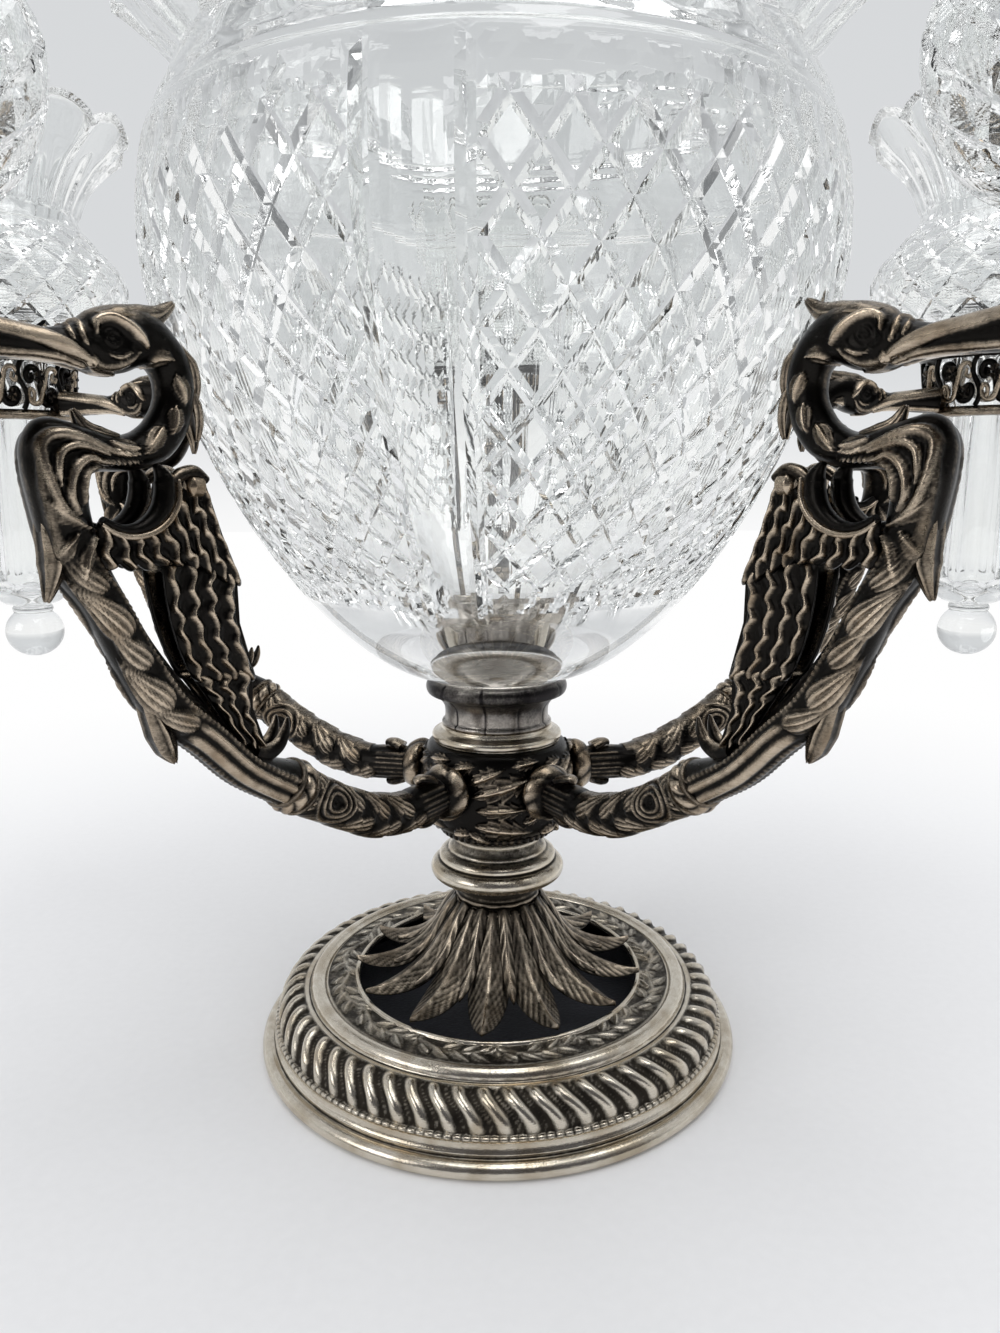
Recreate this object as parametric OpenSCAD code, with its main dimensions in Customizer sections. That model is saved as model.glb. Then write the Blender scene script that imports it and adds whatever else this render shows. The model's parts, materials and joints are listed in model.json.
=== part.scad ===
// Epergne: a silver table centrepiece with a cut-glass bowl on a turned stem and
// bird-shaped branches that each carry a small cut-glass vase.
// Millimetres, +Z up. The axis of the stem is the Z axis and the table is at Z = 0.

/* [Foot] */
// Radius of the foot over its rolled rim
foot_r = 80; // [70:1:95]
// Radius of the rolled rim's bead
foot_bead_r = 2.5; // [1.5:0.1:3.5]
// Height of the plain band above the rim
foot_band_h = 5; // [3:0.5:8]
// Width of the plain band, seen from above
foot_band_w = 3; // [2:0.5:5]
// Height of the gadrooned slope
gadroon_h = 10; // [6:0.5:14]
// Width of the gadrooned slope, seen from above
gadroon_w = 8.5; // [6:0.5:10]
// Width of the flat step between the slope and the upper ring
foot_step_w = 2.5; // [1:0.5:4]
// Radius of the upper ring's bead
foot_ring_r = 2.7; // [2:0.1:3.5]
// Width of the engraved border inside the upper ring
border_w = 11; // [8:0.5:14]
// Wall of the spun foot
foot_wall = 2; // [1.5:0.1:3]
// Thickness of the weighted plate that closes the underside
plate_t = 3; // [2:0.5:5]

/* [Stem] */
// Number of leaves in the calyx
leaf_count = 13; // [8:1:16]
// Height of the leaf calyx above the engraved border
calyx_h = 25; // [20:1:32]
// Radius of the calyx at its top
calyx_top_r = 14.5; // [12:0.5:18]
// Thickness of a leaf
leaf_t = 1.6; // [1.2:0.1:2.4]
// Height of the plain collar above the leaves
stem_collar_h = 8; // [5:0.5:12]
// Radius of the plain collar
stem_collar_r = 14; // [11:0.5:17]
// Height of the turned knop with its neck
knop_h = 16.7; // [14:0.1:22]
// Radius of the knop over its bead
knop_r = 22.3; // [19:0.1:26]
// Radius of the knop's bead
knop_bead_r = 3.3; // [2.5:0.1:4]
// Radius of the knop's neck
knop_neck_r = 14.6; // [12:0.1:15]
// Radius of the tie rod that clamps the stem
rod_r = 3; // [2:0.1:4]

/* [Hub] */
// Height of the hub barrel
hub_h = 31; // [27:0.5:38]
// Radius of the hub barrel
hub_r = 24.1; // [23:0.1:28]
// Height of an arm's axis above the underside of the hub
arm_axis_h = 19; // [16:0.5:20]
// Length of a boss beyond the barrel
boss_len = 7.4; // [5:0.1:10]
// Radius of a boss
boss_r = 8.5; // [7.5:0.1:9.5]
// Width of the square tenon on an arm
tenon_w = 8; // [5:0.5:9]
// Length of the square tenon on an arm
tenon_len = 16; // [10:0.5:17]
// Height of the plain ring above the hub
hub_ring_h = 5; // [3:0.5:8]
// Radius of the plain ring above the hub
hub_ring_r = 21.2; // [18:0.1:23]

/* [Bowl socket] */
// Height of the socket
socket_h = 16; // [13:0.5:20]
// Radius of the socket's waist
socket_waist_r = 16.9; // [15:0.1:19]
// Radius of the socket over its lip
socket_lip_r = 22.9; // [21.5:0.1:26]
// Height of the socket's lip
socket_lip_h = 5.4; // [4:0.1:7]
// Width of the socket's lip, seen from above
socket_lip_w = 2.6; // [2:0.1:4]
// Thickness of the socket's floor
socket_floor_t = 4; // [3.5:0.5:6]
// Radius of the bowl's peg
bowl_peg_r = 14; // [12:0.1:14.5]

/* [Bowl] */
// Radius of the bowl at its belly
bowl_belly_r = 101.2; // [95:0.1:108]
// Height from the socket lip to the belly
bowl_belly_h = 124; // [115:1:130]
// Height from the belly to the neck
bowl_shoulder_h = 49.8; // [42:0.1:56]
// Radius of the bowl at its neck
bowl_neck_r = 85.7; // [80:0.1:92]
// Height of the flared mouth
bowl_flare_h = 40.2; // [30:0.1:48]
// Radius of the bowl at its rim
bowl_rim_r = 118; // [105:0.5:124]
// Wall of the bowl
bowl_wall = 7; // [5:0.5:9]
// Thickness of the glass under the bowl's hollow
bowl_bottom_t = 12; // [8:0.5:18]
// Number of lobes on the bowl's rim
bowl_lobes = 12; // [8:1:16]
// Depth of the notch between two lobes of the bowl
bowl_notch_h = 14; // [4:0.5:18]
// Height of the net of diamonds above the bowl's seat
net_rise = 35.6; // [30:0.1:42]
// Number of fluted panels that divide the bowl's net
panel_count = 4; // [2:1:6]
// Number of diamonds from one panel to the next
panel_step = 12; // [8:1:14]
// Number of diamonds up the bowl
net_rows = 7; // [5:1:7]
// Height of a diamond on the bowl, in widths
net_aspect = 1.368; // [1.1:0.001:1.4]
// Depth of the grooves in the bowl's net
net_depth = 1.7; // [0.8:0.1:2.4]
// Depth of a panel's middle flute
panel_depth = 1.5; // [0.8:0.1:2.4]
// Depth of the flutes on the bowl's mouth
flute_depth = 2; // [0.8:0.1:2.5]
// Height of the step round the bowl's shoulder below the neck
step_drop = 21.5; // [18:0.5:26]
// Depth of that step
step_depth = 1.6; // [0.8:0.1:2.4]

/* [Branch] */
// Gap between the bowl's belly and the tip of a bird's crest
bird_gap = 11.8; // [8:0.1:20]
// Height of a branch's collar above the arm's axis
collar_rise = 18.3; // [14:0.1:22]
// Slope of a branch at its collar
collar_slope = 37; // [32:1:42]
// Width of a branch's collar
collar_w = 7; // [5:0.5:9]
// Radius of a branch's collar
collar_r = 7.5; // [6.8:0.1:9]
// Radius of the pin on each end of a collar
pin_r = 2.5; // [1.5:0.1:3.5]
// Length of a pin
pin_len = 5; // [3:0.5:7]
// Thickness of a wing's feathers
wing_t = 2.6; // [1.8:0.1:3.4]
// Distance of the upper feathers' middle from the branch's plane
upper_wing_y = 4.5; // [4:0.1:5]
// Distance of the middle feathers' middle from the branch's plane
middle_wing_y = 3.3; // [2.8:0.1:3.8]
// Distance of the lower feathers' middle from the branch's plane
lower_wing_y = 2.1; // [1.7:0.1:2.6]
// Thickness of the crest
crest_t = 4.2; // [3:0.1:6]
// Thickness of the leaf tips on the breast and under the collar
leaf_tip_t = 5.4; // [4:0.1:7]

/* [Gallery and vase] */
// Radius of the gallery over its upper rim
gallery_r = 24; // [22:0.5:28]
// Radius of the gallery at its foot
gallery_foot_r = 20.5; // [18:0.5:21]
// Height of the gallery
gallery_h = 22; // [18:0.5:26]
// Wall of the gallery
gallery_wall = 2; // [1.5:0.1:2.5]
// Number of pierced windows in the gallery
window_count = 10; // [6:2:12]
// Radius of a pierced window
window_r = 4.5; // [2.5:0.1:4.8]
// Radius of the vase's tube
tube_r = 13; // [11.5:0.1:14]
// Length of the tube below the gallery's top
tube_len = 91; // [75:1:100]
// Radius of the ball under the tube
ball_r = 10.4; // [8:0.1:11]
// Radius of the vase at its belly
vase_belly_r = 43; // [38:0.5:48]
// Height from the seat to the belly
vase_belly_h = 23.5; // [19:0.5:28]
// Height from the belly to the neck
vase_shoulder_h = 25; // [20:0.5:30]
// Radius of the vase at its neck
vase_neck_r = 28; // [25:0.5:32]
// Height of the vase's flared mouth
vase_flare_h = 31; // [24:0.5:38]
// Radius of the vase at its rim
vase_rim_r = 47; // [40:0.5:52]
// Wall of the vase
vase_wall = 4.5; // [3.5:0.1:5]
// Number of lobes on the vase's rim
vase_lobes = 12; // [8:1:18]
// Depth of the notch between two lobes of the vase
vase_notch_h = 8; // [3:0.5:10]
// Number of diamonds round the vase
vase_net_columns = 20; // [16:1:24]
// Number of diamonds up the vase
vase_net_rows = 4; // [3:1:4]
// Height of a diamond on the vase, in widths
vase_net_aspect = 0.96; // [0.8:0.01:1.1]
// Depth of the grooves in the vase's net
vase_net_depth = 1.2; // [0.6:0.1:1.6]
// Depth of the flutes on the vase's mouth
vase_flute_depth = 1.1; // [0.5:0.1:1.6]

/* [Fits] */
// Clearance round the tie rod, the pins and the plate
fit_gap = 0.05; // [0.03:0.01:0.1]
// Clearance round a tenon
tenon_gap = 0.1; // [0.05:0.05:0.2]
// Clearance at the end of a tenon
tenon_end_gap = 0.4; // [0.2:0.1:0.6]
// Clearance between glass and metal
glass_gap = 0.4; // [0.3:0.1:0.6]

/* [Hidden] */
$fn = 72;
arm_count = 5;
arm_step = 360 / arm_count;
arm_first = -54;
silver = [0.62, 0.59, 0.55];
dark_silver = [0.24, 0.22, 0.20];
glass = [0.90, 0.94, 0.96, 0.45];
baize = [0.06, 0.07, 0.10];

// Levels and radii of the foot
rim_top_z = 2 * foot_bead_r;
band_top_z = rim_top_z + foot_band_h;
slope_top_z = band_top_z + gadroon_h;
border_z = slope_top_z + foot_ring_r;
band_out_r = foot_r - foot_bead_r;
slope_out_r = band_out_r - foot_band_w;
slope_in_r = slope_out_r - gadroon_w;
ring_mid_r = slope_in_r - foot_step_w - foot_ring_r;
border_out_r = ring_mid_r - foot_ring_r;
opening_r = border_out_r - border_w;
plate_r = slope_out_r - foot_wall;
ledge_w = 2;
rim_groove = 1;

// How far a cut runs past the face that it opens
over = 1;

// Levels of the stem, from the border up
calyx_top_z = border_z + calyx_h;
knop_z = calyx_top_z + stem_collar_h;
hub_z = knop_z + knop_h;
arm_z = hub_z + arm_axis_h;
hub_ring_z = hub_z + hub_h;
socket_z = hub_ring_z + hub_ring_h;
socket_floor_z = socket_z + socket_floor_t;
socket_lip_z = socket_z + socket_h;

// The tie rod's head lies in the socket's floor, its nut under the calyx
calyx_cap_t = 4;
leaf_lap = 2.5;
leaf_turn = -5;
calyx_bend = 1.7;
calyx_steps = 8;
stem_cove_h = 2;
stem_cove_w = 1;
knop_cove_h = 5;
hub_foot_h = 9;
hub_foot_w = 6;
hub_shoulder_h = 6;
hub_shoulder_w = 2.5;
boss_sink = 4;
boss_edge = 1.5;
hub_ring_round = 2.5;

// Edge of one leaf: its place in the leaf's share of the circle, and its part of the reach
leaf_edge = [[-0.5, 0.55], [-0.42, 0.66], [-0.22, 0.88], [0, 1], [0.22, 0.88], [0.42, 0.66]];

// Sizes of the clamp follow the rod
head_r = 2 * rod_r;
head_h = 2;
head_sink = 0.2;
washer_r = 2.8 * rod_r;
washer_t = 1.5;
nut_r = 2.1 * rod_r;
nut_h = 5;
rod_end = 2;
rod_bore_r = rod_r + fit_gap;
rod_top_z = socket_floor_z - head_sink;
washer_z = calyx_top_z - calyx_cap_t - washer_t;
nut_z = washer_z - nut_h;

// Levels of the bowl
bowl_z = socket_floor_z;
bowl_foot_z = socket_lip_z + glass_gap;
bowl_belly_z = socket_lip_z + bowl_belly_h;
bowl_neck_z = bowl_belly_z + bowl_shoulder_h;
bowl_rim_z = bowl_neck_z + bowl_flare_h;
cup_r = bowl_peg_r + glass_gap;
cup_side_h = 5;
lip_in_r = socket_lip_r - socket_lip_w;
lip_round = 0.5 * socket_lip_w;
socket_bend = 3;
bowl_foot_in = 1;
bowl_foot_r = socket_lip_r - bowl_foot_in;
bowl_round = 1.55;
bowl_hollow_round = 1.7;
bowl_shoulder_bend = 2.6;
bowl_flare_bend = 0.8;
vase_round = 2;
vase_flare_bend = 1.3;

// The nets start above the bowl's seat and just above a vase's seat
net_turn = -98.7;
net_z = bowl_foot_z + net_rise - glass_gap;
vase_net_rise = 1.6;
panel_half = 2;
step_h = 1;
neck_lead = 10;

// Where rings stand between the bowl's foot and its net, and from a neck to its rim
foot_shares = [0, 0.06, 0.2, 0.5];
mouth_shares = [0, 0.35, 0.7, 1];

// Places along a branch: x is the distance from the stem's axis
boss_x = hub_r + boss_len;
crest_x = bowl_belly_r + bird_gap;
crest_reach = 25;
collar_x = crest_x - crest_reach;
collar_z = arm_z + collar_rise;

// Sections of the bird from the collar to the beak, measured from the collar's centre
bird_plan = [
    [11.1, 11.9, 18.7, 5.6, 5.2], [21.5, 22.3, 28.9, 15.6, 5.0], [30.2, 32.2, 39.4, 25.4, 5.2],
    [38.0, 43.0, 46.5, 38.4, 5.2], [43.6, 53.3, 51.9, 50.4, 5.3], [47.8, 62.5, 58.4, 60.3, 5.5],
    [50.0, 70.9, 61.0, 71.4, 5.6], [49.8, 77.4, 62.4, 82.0, 5.6], [48.0, 78.9, 60.6, 87.6, 5.5],
    [46.0, 79.2, 57.0, 89.6, 5.3], [43.0, 79.2, 51.0, 88.4, 5.0], [39.5, 79.4, 44.2, 86.6, 4.7],
    [34.5, 80.3, 39.6, 87.0, 4.4], [29.8, 82.6, 36.0, 89.0, 4.2], [25.8, 87.4, 33.6, 91.8, 4.2],
    [23.8, 92.8, 32.3, 94.4, 4.2], [23.3, 98.0, 32.1, 97.2, 4.3], [24.4, 102.8, 33.0, 99.6, 4.6],
    [27.2, 107.0, 34.9, 100.8, 5.2], [31.5, 110.8, 37.0, 100.0, 5.7], [36.5, 112.4, 39.5, 99.0, 5.9],
    [41.5, 112.1, 43.0, 98.4, 5.6], [46.5, 110.4, 46.8, 98.6, 4.9], [50.6, 107.4, 50.6, 99.5, 4.0],
    [58.5, 106.0, 58.5, 100.5, 3.5], [67.0, 107.0, 67.0, 99.6, 3.5], [76.0, 108.0, 76.0, 99.4, 3.8]];

// The beak's end carries the gallery on a lug and a round tang
beak_end = bird_plan[len(bird_plan) - 1];
beak_x = collar_x + beak_end[0];
beak_z = collar_z + (beak_end[1] + beak_end[3]) / 2;
beak_drop = 4.4;
beak_gap = 3.2;
lug_w = 7;
lug_sink = 0.6;
lug_len = beak_gap + lug_sink;
tang_r = 1.6;
tang_len = 5;
gallery_x = beak_x + beak_gap + gallery_foot_r;
gallery_z = beak_z - beak_drop;
seat_z = gallery_z + gallery_h;

// Levels of a vase
tube_end_z = seat_z - tube_len;
vase_belly_z = seat_z + vase_belly_h;
vase_neck_z = vase_belly_z + vase_shoulder_h;
vase_rim_z = vase_neck_z + vase_flare_h;
vase_collar_h = 3;
vase_collar_r = 6.2;
ball_squash = 0.92;
ball_top_angle = 50;
ball_z = tube_end_z - vase_collar_h - ball_squash * ball_r * sin(ball_top_angle);
tube_round_h = 6.5;
throat_h = 3;
seat_w = 5;
vase_overhang = 1;
gallery_lip = 1;
seat_in_r = gallery_r - seat_w;
seat_out_r = gallery_r + vase_overhang;

// A swelling from 0 to 1 that starts steeply and ends level
function swell(u, p) = pow(1 - pow(1 - u, p), 1 / p);

// Three stretches of a glass outline, as [radius, level]: a belly that swells, a shoulder
// that draws in and a mouth that flares
function belly(r0, r1, z0, z1, p, steps) =
    [for (i = [0 : steps]) [r0 + (r1 - r0) * swell(i / steps, p), z0 + (z1 - z0) * i / steps]];
function shoulder(r0, r1, z0, z1, p, steps) =
    [for (i = [1 : steps]) [r0 - (r0 - r1) * pow(i / steps, p), z0 + (z1 - z0) * i / steps]];
function waist(r0, r1, z0, z1, steps) =
    [for (i = [1 : steps]) [r1 + (r0 - r1) * (1 + cos(180 * i / steps)) / 2, z0 + (z1 - z0) * i / steps]];

// Outer radius of the uncut bowl and of the uncut vase at a level
function bowl_r(z) = z < bowl_belly_z
    ? bowl_foot_r + (bowl_belly_r - bowl_foot_r)
        * swell((z - bowl_foot_z) / (bowl_belly_z - bowl_foot_z), bowl_round)
    : z < bowl_neck_z
    ? bowl_belly_r - (bowl_belly_r - bowl_neck_r)
        * pow((z - bowl_belly_z) / bowl_shoulder_h, bowl_shoulder_bend)
    : bowl_neck_r + (bowl_rim_r - bowl_neck_r) * pow((z - bowl_neck_z) / bowl_flare_h, bowl_flare_bend);
function vase_r(z) = z < vase_belly_z
    ? seat_out_r + (vase_belly_r - seat_out_r) * swell((z - seat_z) / vase_belly_h, vase_round)
    : z < vase_neck_z
    ? vase_neck_r + (vase_belly_r - vase_neck_r) * (1 + cos(180 * (z - vase_belly_z) / vase_shoulder_h)) / 2
    : vase_neck_r + (vase_rim_r - vase_neck_r) * pow((z - vase_neck_z) / vase_flare_h, vase_flare_bend);
function glass_r(on_bowl, z) = on_bowl ? bowl_r(z) : vase_r(z);

// Levels of a net's rows, two to a diamond. A diamond is as tall along the glass as its width times
// its aspect, so each small step up is a share of the radius, less on a slope
function climb(on_bowl, z, share) =
    let (d = 0.1, slope = (glass_r(on_bowl, z + d) - glass_r(on_bowl, z - d)) / (2 * d))
        share * glass_r(on_bowl, z) / sqrt(1 + slope * slope);
function net_levels(on_bowl, low_z, rows, columns, aspect) =
    let (fine = 10, share = aspect * PI / columns / fine,
        all = [for (i = 0, z = low_z; i <= 2 * rows * fine;
            z = z + climb(on_bowl, z + climb(on_bowl, z, share) / 2, share), i = i + 1) z])
        [for (i = [0 : 2 * rows]) all[i * fine]];

// Rows of a cut vessel: level, radius, number of points, depth of cut, kind, row of the net, drop at a notch.
// On a net's row every second point is a crossing of grooves. On a fluted row every second point is a hollow.
plain = 0;
netted = 1;
fluted = 2;
net_columns = panel_count * panel_step;
function net_row(on_bowl, z, i, columns, depth) = [z, glass_r(on_bowl, z), 2 * columns, depth, netted, i, 0];
function mouth_rows(on_bowl, lobes, neck_z, flare_h, depth, notch) = [for (t = mouth_shares)
    let (z = neck_z + t * flare_h) [z, glass_r(on_bowl, z), 4 * lobes, depth, fluted, 0, notch * t * t]];
function bowl_rows() =
    let (levels = net_levels(true, net_z, net_rows, net_columns, net_aspect),
        step_z = bowl_neck_z - step_drop, lead_z = bowl_neck_z - neck_lead)
    concat(
        [for (t = foot_shares) let (z = bowl_foot_z + t * (net_z - bowl_foot_z))
            [z, bowl_r(z), net_columns, 0, plain, 0, 0]],
        [for (i = [0 : 2 * net_rows]) net_row(true, levels[i], i, net_columns, net_depth)],
        [[step_z, bowl_r(step_z), 4 * bowl_lobes, 0, plain, 0, 0],
         [step_z + step_h, bowl_r(step_z) - step_depth, 4 * bowl_lobes, 0, plain, 0, 0],
         [lead_z, bowl_r(lead_z), 4 * bowl_lobes, flute_depth, fluted, 0, 0]],
        mouth_rows(true, bowl_lobes, bowl_neck_z, bowl_flare_h, flute_depth, bowl_notch_h));
function vase_rows() =
    let (levels = net_levels(false, seat_z + vase_net_rise, vase_net_rows, vase_net_columns, vase_net_aspect))
    concat(
        [[seat_z, seat_out_r, 2 * vase_net_columns, 0, plain, 0, 0]],
        [for (i = [0 : 2 * vase_net_rows]) net_row(false, levels[i], i, vase_net_columns, vase_net_depth)],
        mouth_rows(false, vase_lobes, vase_neck_z, vase_flare_h, vase_flute_depth, vase_notch_h));

// Depth of the cut at a row's point. Panels stand on the bowl alone, with a hollow in the middle
function panel_side(k) = abs((k + panel_step) % (2 * panel_step) - panel_step);
function cut_at(row, k, panels) =
    row[4] == fluted ? (k % 2 == 1 ? row[3] : 0)
    : row[4] == plain ? 0
    : panels && panel_side(k) <= panel_half ? (panel_side(k) == 0 ? panel_depth : 0)
    : (row[5] + k) % 2 == 1 ? row[3] : 0;

// Share of a notch's depth at a rim's point: round lobes, four points to a lobe
function lobe_drop(k) = let (t = (k % 4) / 2 - 1) 1 - sqrt(1 - t * t);

// Outline of the bowl's hollow
function bowl_inner() = concat(
    belly(0, bowl_belly_r - bowl_wall, bowl_foot_z + bowl_bottom_t, bowl_belly_z, bowl_hollow_round, 10),
    shoulder(bowl_belly_r - bowl_wall, bowl_neck_r - bowl_wall, bowl_belly_z, bowl_neck_z,
        bowl_shoulder_bend, 6),
    shoulder(bowl_neck_r - bowl_wall, bowl_rim_r - bowl_wall, bowl_neck_z, bowl_rim_z, bowl_flare_bend, 6));

// Outline of a vase's hollow
function vase_inner() = let (hole = tube_r - vase_wall) concat(
    [[0, tube_end_z + vase_wall], [hole, tube_end_z + 2 * vase_wall]],
    belly(hole, vase_belly_r - vase_wall, seat_z + vase_wall, vase_belly_z, vase_round, 5),
    waist(vase_belly_r - vase_wall, vase_neck_r - vase_wall, vase_belly_z, vase_neck_z, 6),
    shoulder(vase_neck_r - vase_wall, vase_rim_r - vase_wall, vase_neck_z, vase_rim_z, vase_flare_bend, 5));

function reversed(list) = [for (i = [len(list) - 1 : -1 : 0]) list[i]];

// A smooth curve through a list of vectors, with a number of steps in each stretch
function curve_at(a, b, c, d, t) =
    0.5 * (2 * b + (c - a) * t + (2 * a - 5 * b + 4 * c - d) * t * t + (3 * b - a - 3 * c + d) * t * t * t);
function smooth(list, steps) = let (last = len(list) - 1) concat(
    [for (i = [0 : last - 1], k = [0 : steps - 1])
        curve_at(list[max(i - 1, 0)], list[i], list[i + 1], list[min(i + 2, last)], k / steps)],
    [list[last]]);

// A section across a branch at its collar: side is -1 below the collar and 1 above it
function collar_section(side, half) = [
    collar_x + side * collar_w / 2 * cos(collar_slope) - half * sin(collar_slope),
    collar_z + side * collar_w / 2 * sin(collar_slope) + half * cos(collar_slope),
    collar_x + side * collar_w / 2 * cos(collar_slope) + half * sin(collar_slope),
    collar_z + side * collar_w / 2 * sin(collar_slope) - half * cos(collar_slope),
    half];
function bird_point(p) = [collar_x + p[0], collar_z + p[1], collar_x + p[2], collar_z + p[3], p[4]];

// Sections of the arm root: inner edge's share of the run and height over the arm's axis,
// outer edge's share and height, half width
root_run = collar_x - boss_x;
root_plan = [
    [0, 5.6, 0, -5.6, 5.6], [0.15, 5.4, 0.15, -6.0, 5.7], [0.28, 5.3, 0.29, -6.2, 5.9],
    [0.46, 7.8, 0.53, -3.6, 6.0], [0.68, 13.7, 0.78, 3.7, 6.0]];
branch_r = 6;
collar_bead = 1;
function root_point(p) =
    [boss_x + p[0] * root_run, arm_z + p[1], boss_x + p[2] * root_run, arm_z + p[3], p[4]];
root_sections = concat([for (p = root_plan) root_point(p)], [collar_section(-1, branch_r)]);
bird_sections = concat([collar_section(1, branch_r)], [for (p = bird_plan) bird_point(p)]);

// Outlines of the flat castings on a bird, measured from the collar's centre
crest_plan = [
    [44, 111], [38, 112.4], [32, 112.8], [27.6, 114], [crest_reach, 115.4], [25.6, 112.8], [27.4, 110.4],
    [30.5, 107.8], [36, 106]];
breast_plan = [[60.4, 70], [60.8, 62], [60.6, 56], [60, 53.8], [58, 54.6], [56.4, 57.4], [54.5, 64]];
leaf_plan = [[39.2, 25.4], [37.4, 19.4], [35.2, 15.4], [33.6, 14.6], [31.6, 16.8], [30, 18.6], [33, 24]];
// The upper feathers end in a crescent round a hole under the neck
crescent = [44, 75.6];
crescent_r = 7;
upper_wing_plan = concat(
    [[24.2, 76], [25.4, 78.2], [28, 79.2], [31, 78.4], [32.8, 77.6], [34.6, 79.6], [36.8, 80.6]],
    [for (a = [140 : 20 : 340]) crescent + crescent_r * [cos(a), sin(a)]],
    [[52, 70], [52, 61], [49.9, 60.1], [43.2, 59.6], [34.2, 60.1], [25.2, 57.8], [18.8, 53.6], [15.6, 53.8],
     [16.6, 55.9], [19.9, 61.9], [22.4, 70.8]]);
middle_wing_plan = [
    [16, 56], [36, 61], [35.8, 51.3], [34.2, 45.6], [31.8, 40.1], [29.4, 33], [19, 31.4], [11.8, 30.5],
    [13.4, 32.6], [16, 37.3], [17.3, 42.6], [16.7, 47.6]];
lower_wing_plan = [
    [12, 34], [30, 34.5], [29.3, 31.8], [25.6, 27.2], [22, 21], [14, 10.5], [8.6, 10.4], [4.6, 13],
    [2.2, 18.6], [6.2, 15.8], [9.2, 16.4], [13, 21.8], [14.2, 26.5], [12.2, 29.8]];

// A closed surface through sections that are ovals between an inner and an outer edge
module loft(sections, sides) {
    last = len(sections) - 1;
    points = [for (s = sections, k = [0 : sides - 1])
        let (c = (1 + cos(360 * k / sides)) / 2)
            [s[0] + (s[2] - s[0]) * c, s[4] * sin(360 * k / sides), s[1] + (s[3] - s[1]) * c]];
    skin = [for (i = [0 : last - 1], k = [0 : sides - 1]) let (n = (k + 1) % sides)
        each [[i * sides + k, (i + 1) * sides + n, i * sides + n],
              [i * sides + k, (i + 1) * sides + k, (i + 1) * sides + n]]];
    ends = [[for (k = [0 : sides - 1]) k], reversed([for (k = [0 : sides - 1]) last * sides + k])];
    polyhedron(points = points, faces = concat(skin, ends), convexity = 8);
}

// A flat casting in the plane of a branch, or to one side of it
module plate(plan, thick, y = 0) {
    translate([collar_x, y + thick / 2, collar_z])
        rotate([90, 0, 0])
            linear_extrude(thick)
                polygon(plan);
}

// Places a branch's piece, made along +X, at its own angle round the stem
module at_arm(i) {
    rotate([0, 0, arm_first + arm_step * (i - 1)])
        children();
}

// Places a piece along a branch at its collar, with +Z along the branch
module at_collar() {
    translate([collar_x, 0, collar_z])
        rotate([0, 90 - collar_slope, 0])
            children();
}

// A cut vessel: rings of points from its foot to its rim, which a fan closes. Rings of unlike numbers
// are joined by one triangle on each of their edges, taken in the order of the edges' middles. A
// net's squares are split along its grooves.
module cut_vessel(rows, turn, panels) {
    last = len(rows) - 1;
    starts = [for (i = 0, n = 0; i <= last + 1; n = n + (i <= last ? rows[i][2] : 0), i = i + 1) n];
    points = [for (row = rows, k = [0 : row[2] - 1])
        let (a = turn + 360 * k / row[2], r = row[1] - cut_at(row, k, panels))
            [r * cos(a), r * sin(a), row[0] - row[6] * lobe_drop(k)]];
    skin = [for (i = [0 : last - 1])
        let (n = rows[i][2], m = rows[i + 1][2], a = starts[i], b = starts[i + 1])
            each rows[i][4] == netted && rows[i + 1][4] == netted
                ? [for (k = [0 : n - 1]) let (r = (k + 1) % n)
                    each (rows[i][5] + k) % 2 == 1
                        ? [[a + k, b + k, b + r], [a + k, b + r, a + r]]
                        : [[a + k, b + k, a + r], [a + r, b + k, b + r]]]
                : concat(
                    [for (k = [0 : n - 1]) [a + k, b + ceil((k + 0.5) * m / n - 0.5) % m, a + (k + 1) % n]],
                    [for (k = [0 : m - 1])
                        [b + k, b + (k + 1) % m, a + (floor((k + 0.5) * n / m - 0.5) + 1) % n]])];
    rim = starts[last];
    count = rows[last][2];
    top = [for (k = [0 : count - 1]) [rim + (k + 1) % count, rim + k, starts[last + 1]]];
    polyhedron(points = concat(points, [[0, 0, rows[last][0]]]),
        faces = concat([[for (k = [0 : rows[0][2] - 1]) k]], skin, top), convexity = 10);
}

module foot() {
    rim = [for (a = [-90 : 22.5 : 90])
        [band_out_r + foot_bead_r * cos(a), foot_bead_r + foot_bead_r * sin(a)]];
    band = [[slope_out_r + rim_groove, rim_top_z + rim_groove], [slope_out_r, band_top_z]];
    slope = [for (a = [18 : 18 : 90])
        [slope_in_r + gadroon_w * cos(a), band_top_z + gadroon_h * sin(a)]];
    ring = [for (a = [0 : 30 : 180])
        [ring_mid_r + foot_ring_r * cos(a), slope_top_z + foot_ring_r * sin(a)]];
    border = [[border_out_r, border_z], [opening_r, border_z]];
    inside = [[opening_r, border_z - foot_wall], [slope_in_r - foot_wall, border_z - 2 * foot_wall],
        [slope_in_r + gadroon_w * cos(45) - foot_wall, band_top_z + gadroon_h * sin(45) - foot_wall],
        [plate_r - ledge_w, band_top_z - foot_wall], [plate_r - ledge_w, plate_t],
        [plate_r, plate_t], [plate_r, 0]];
    color(silver)
        rotate_extrude()
            polygon(concat(rim, band, slope, ring, border, inside));
}

module base_plate() {
    color(baize)
        cylinder(r = plate_r - fit_gap, h = plate_t);
}

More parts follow.
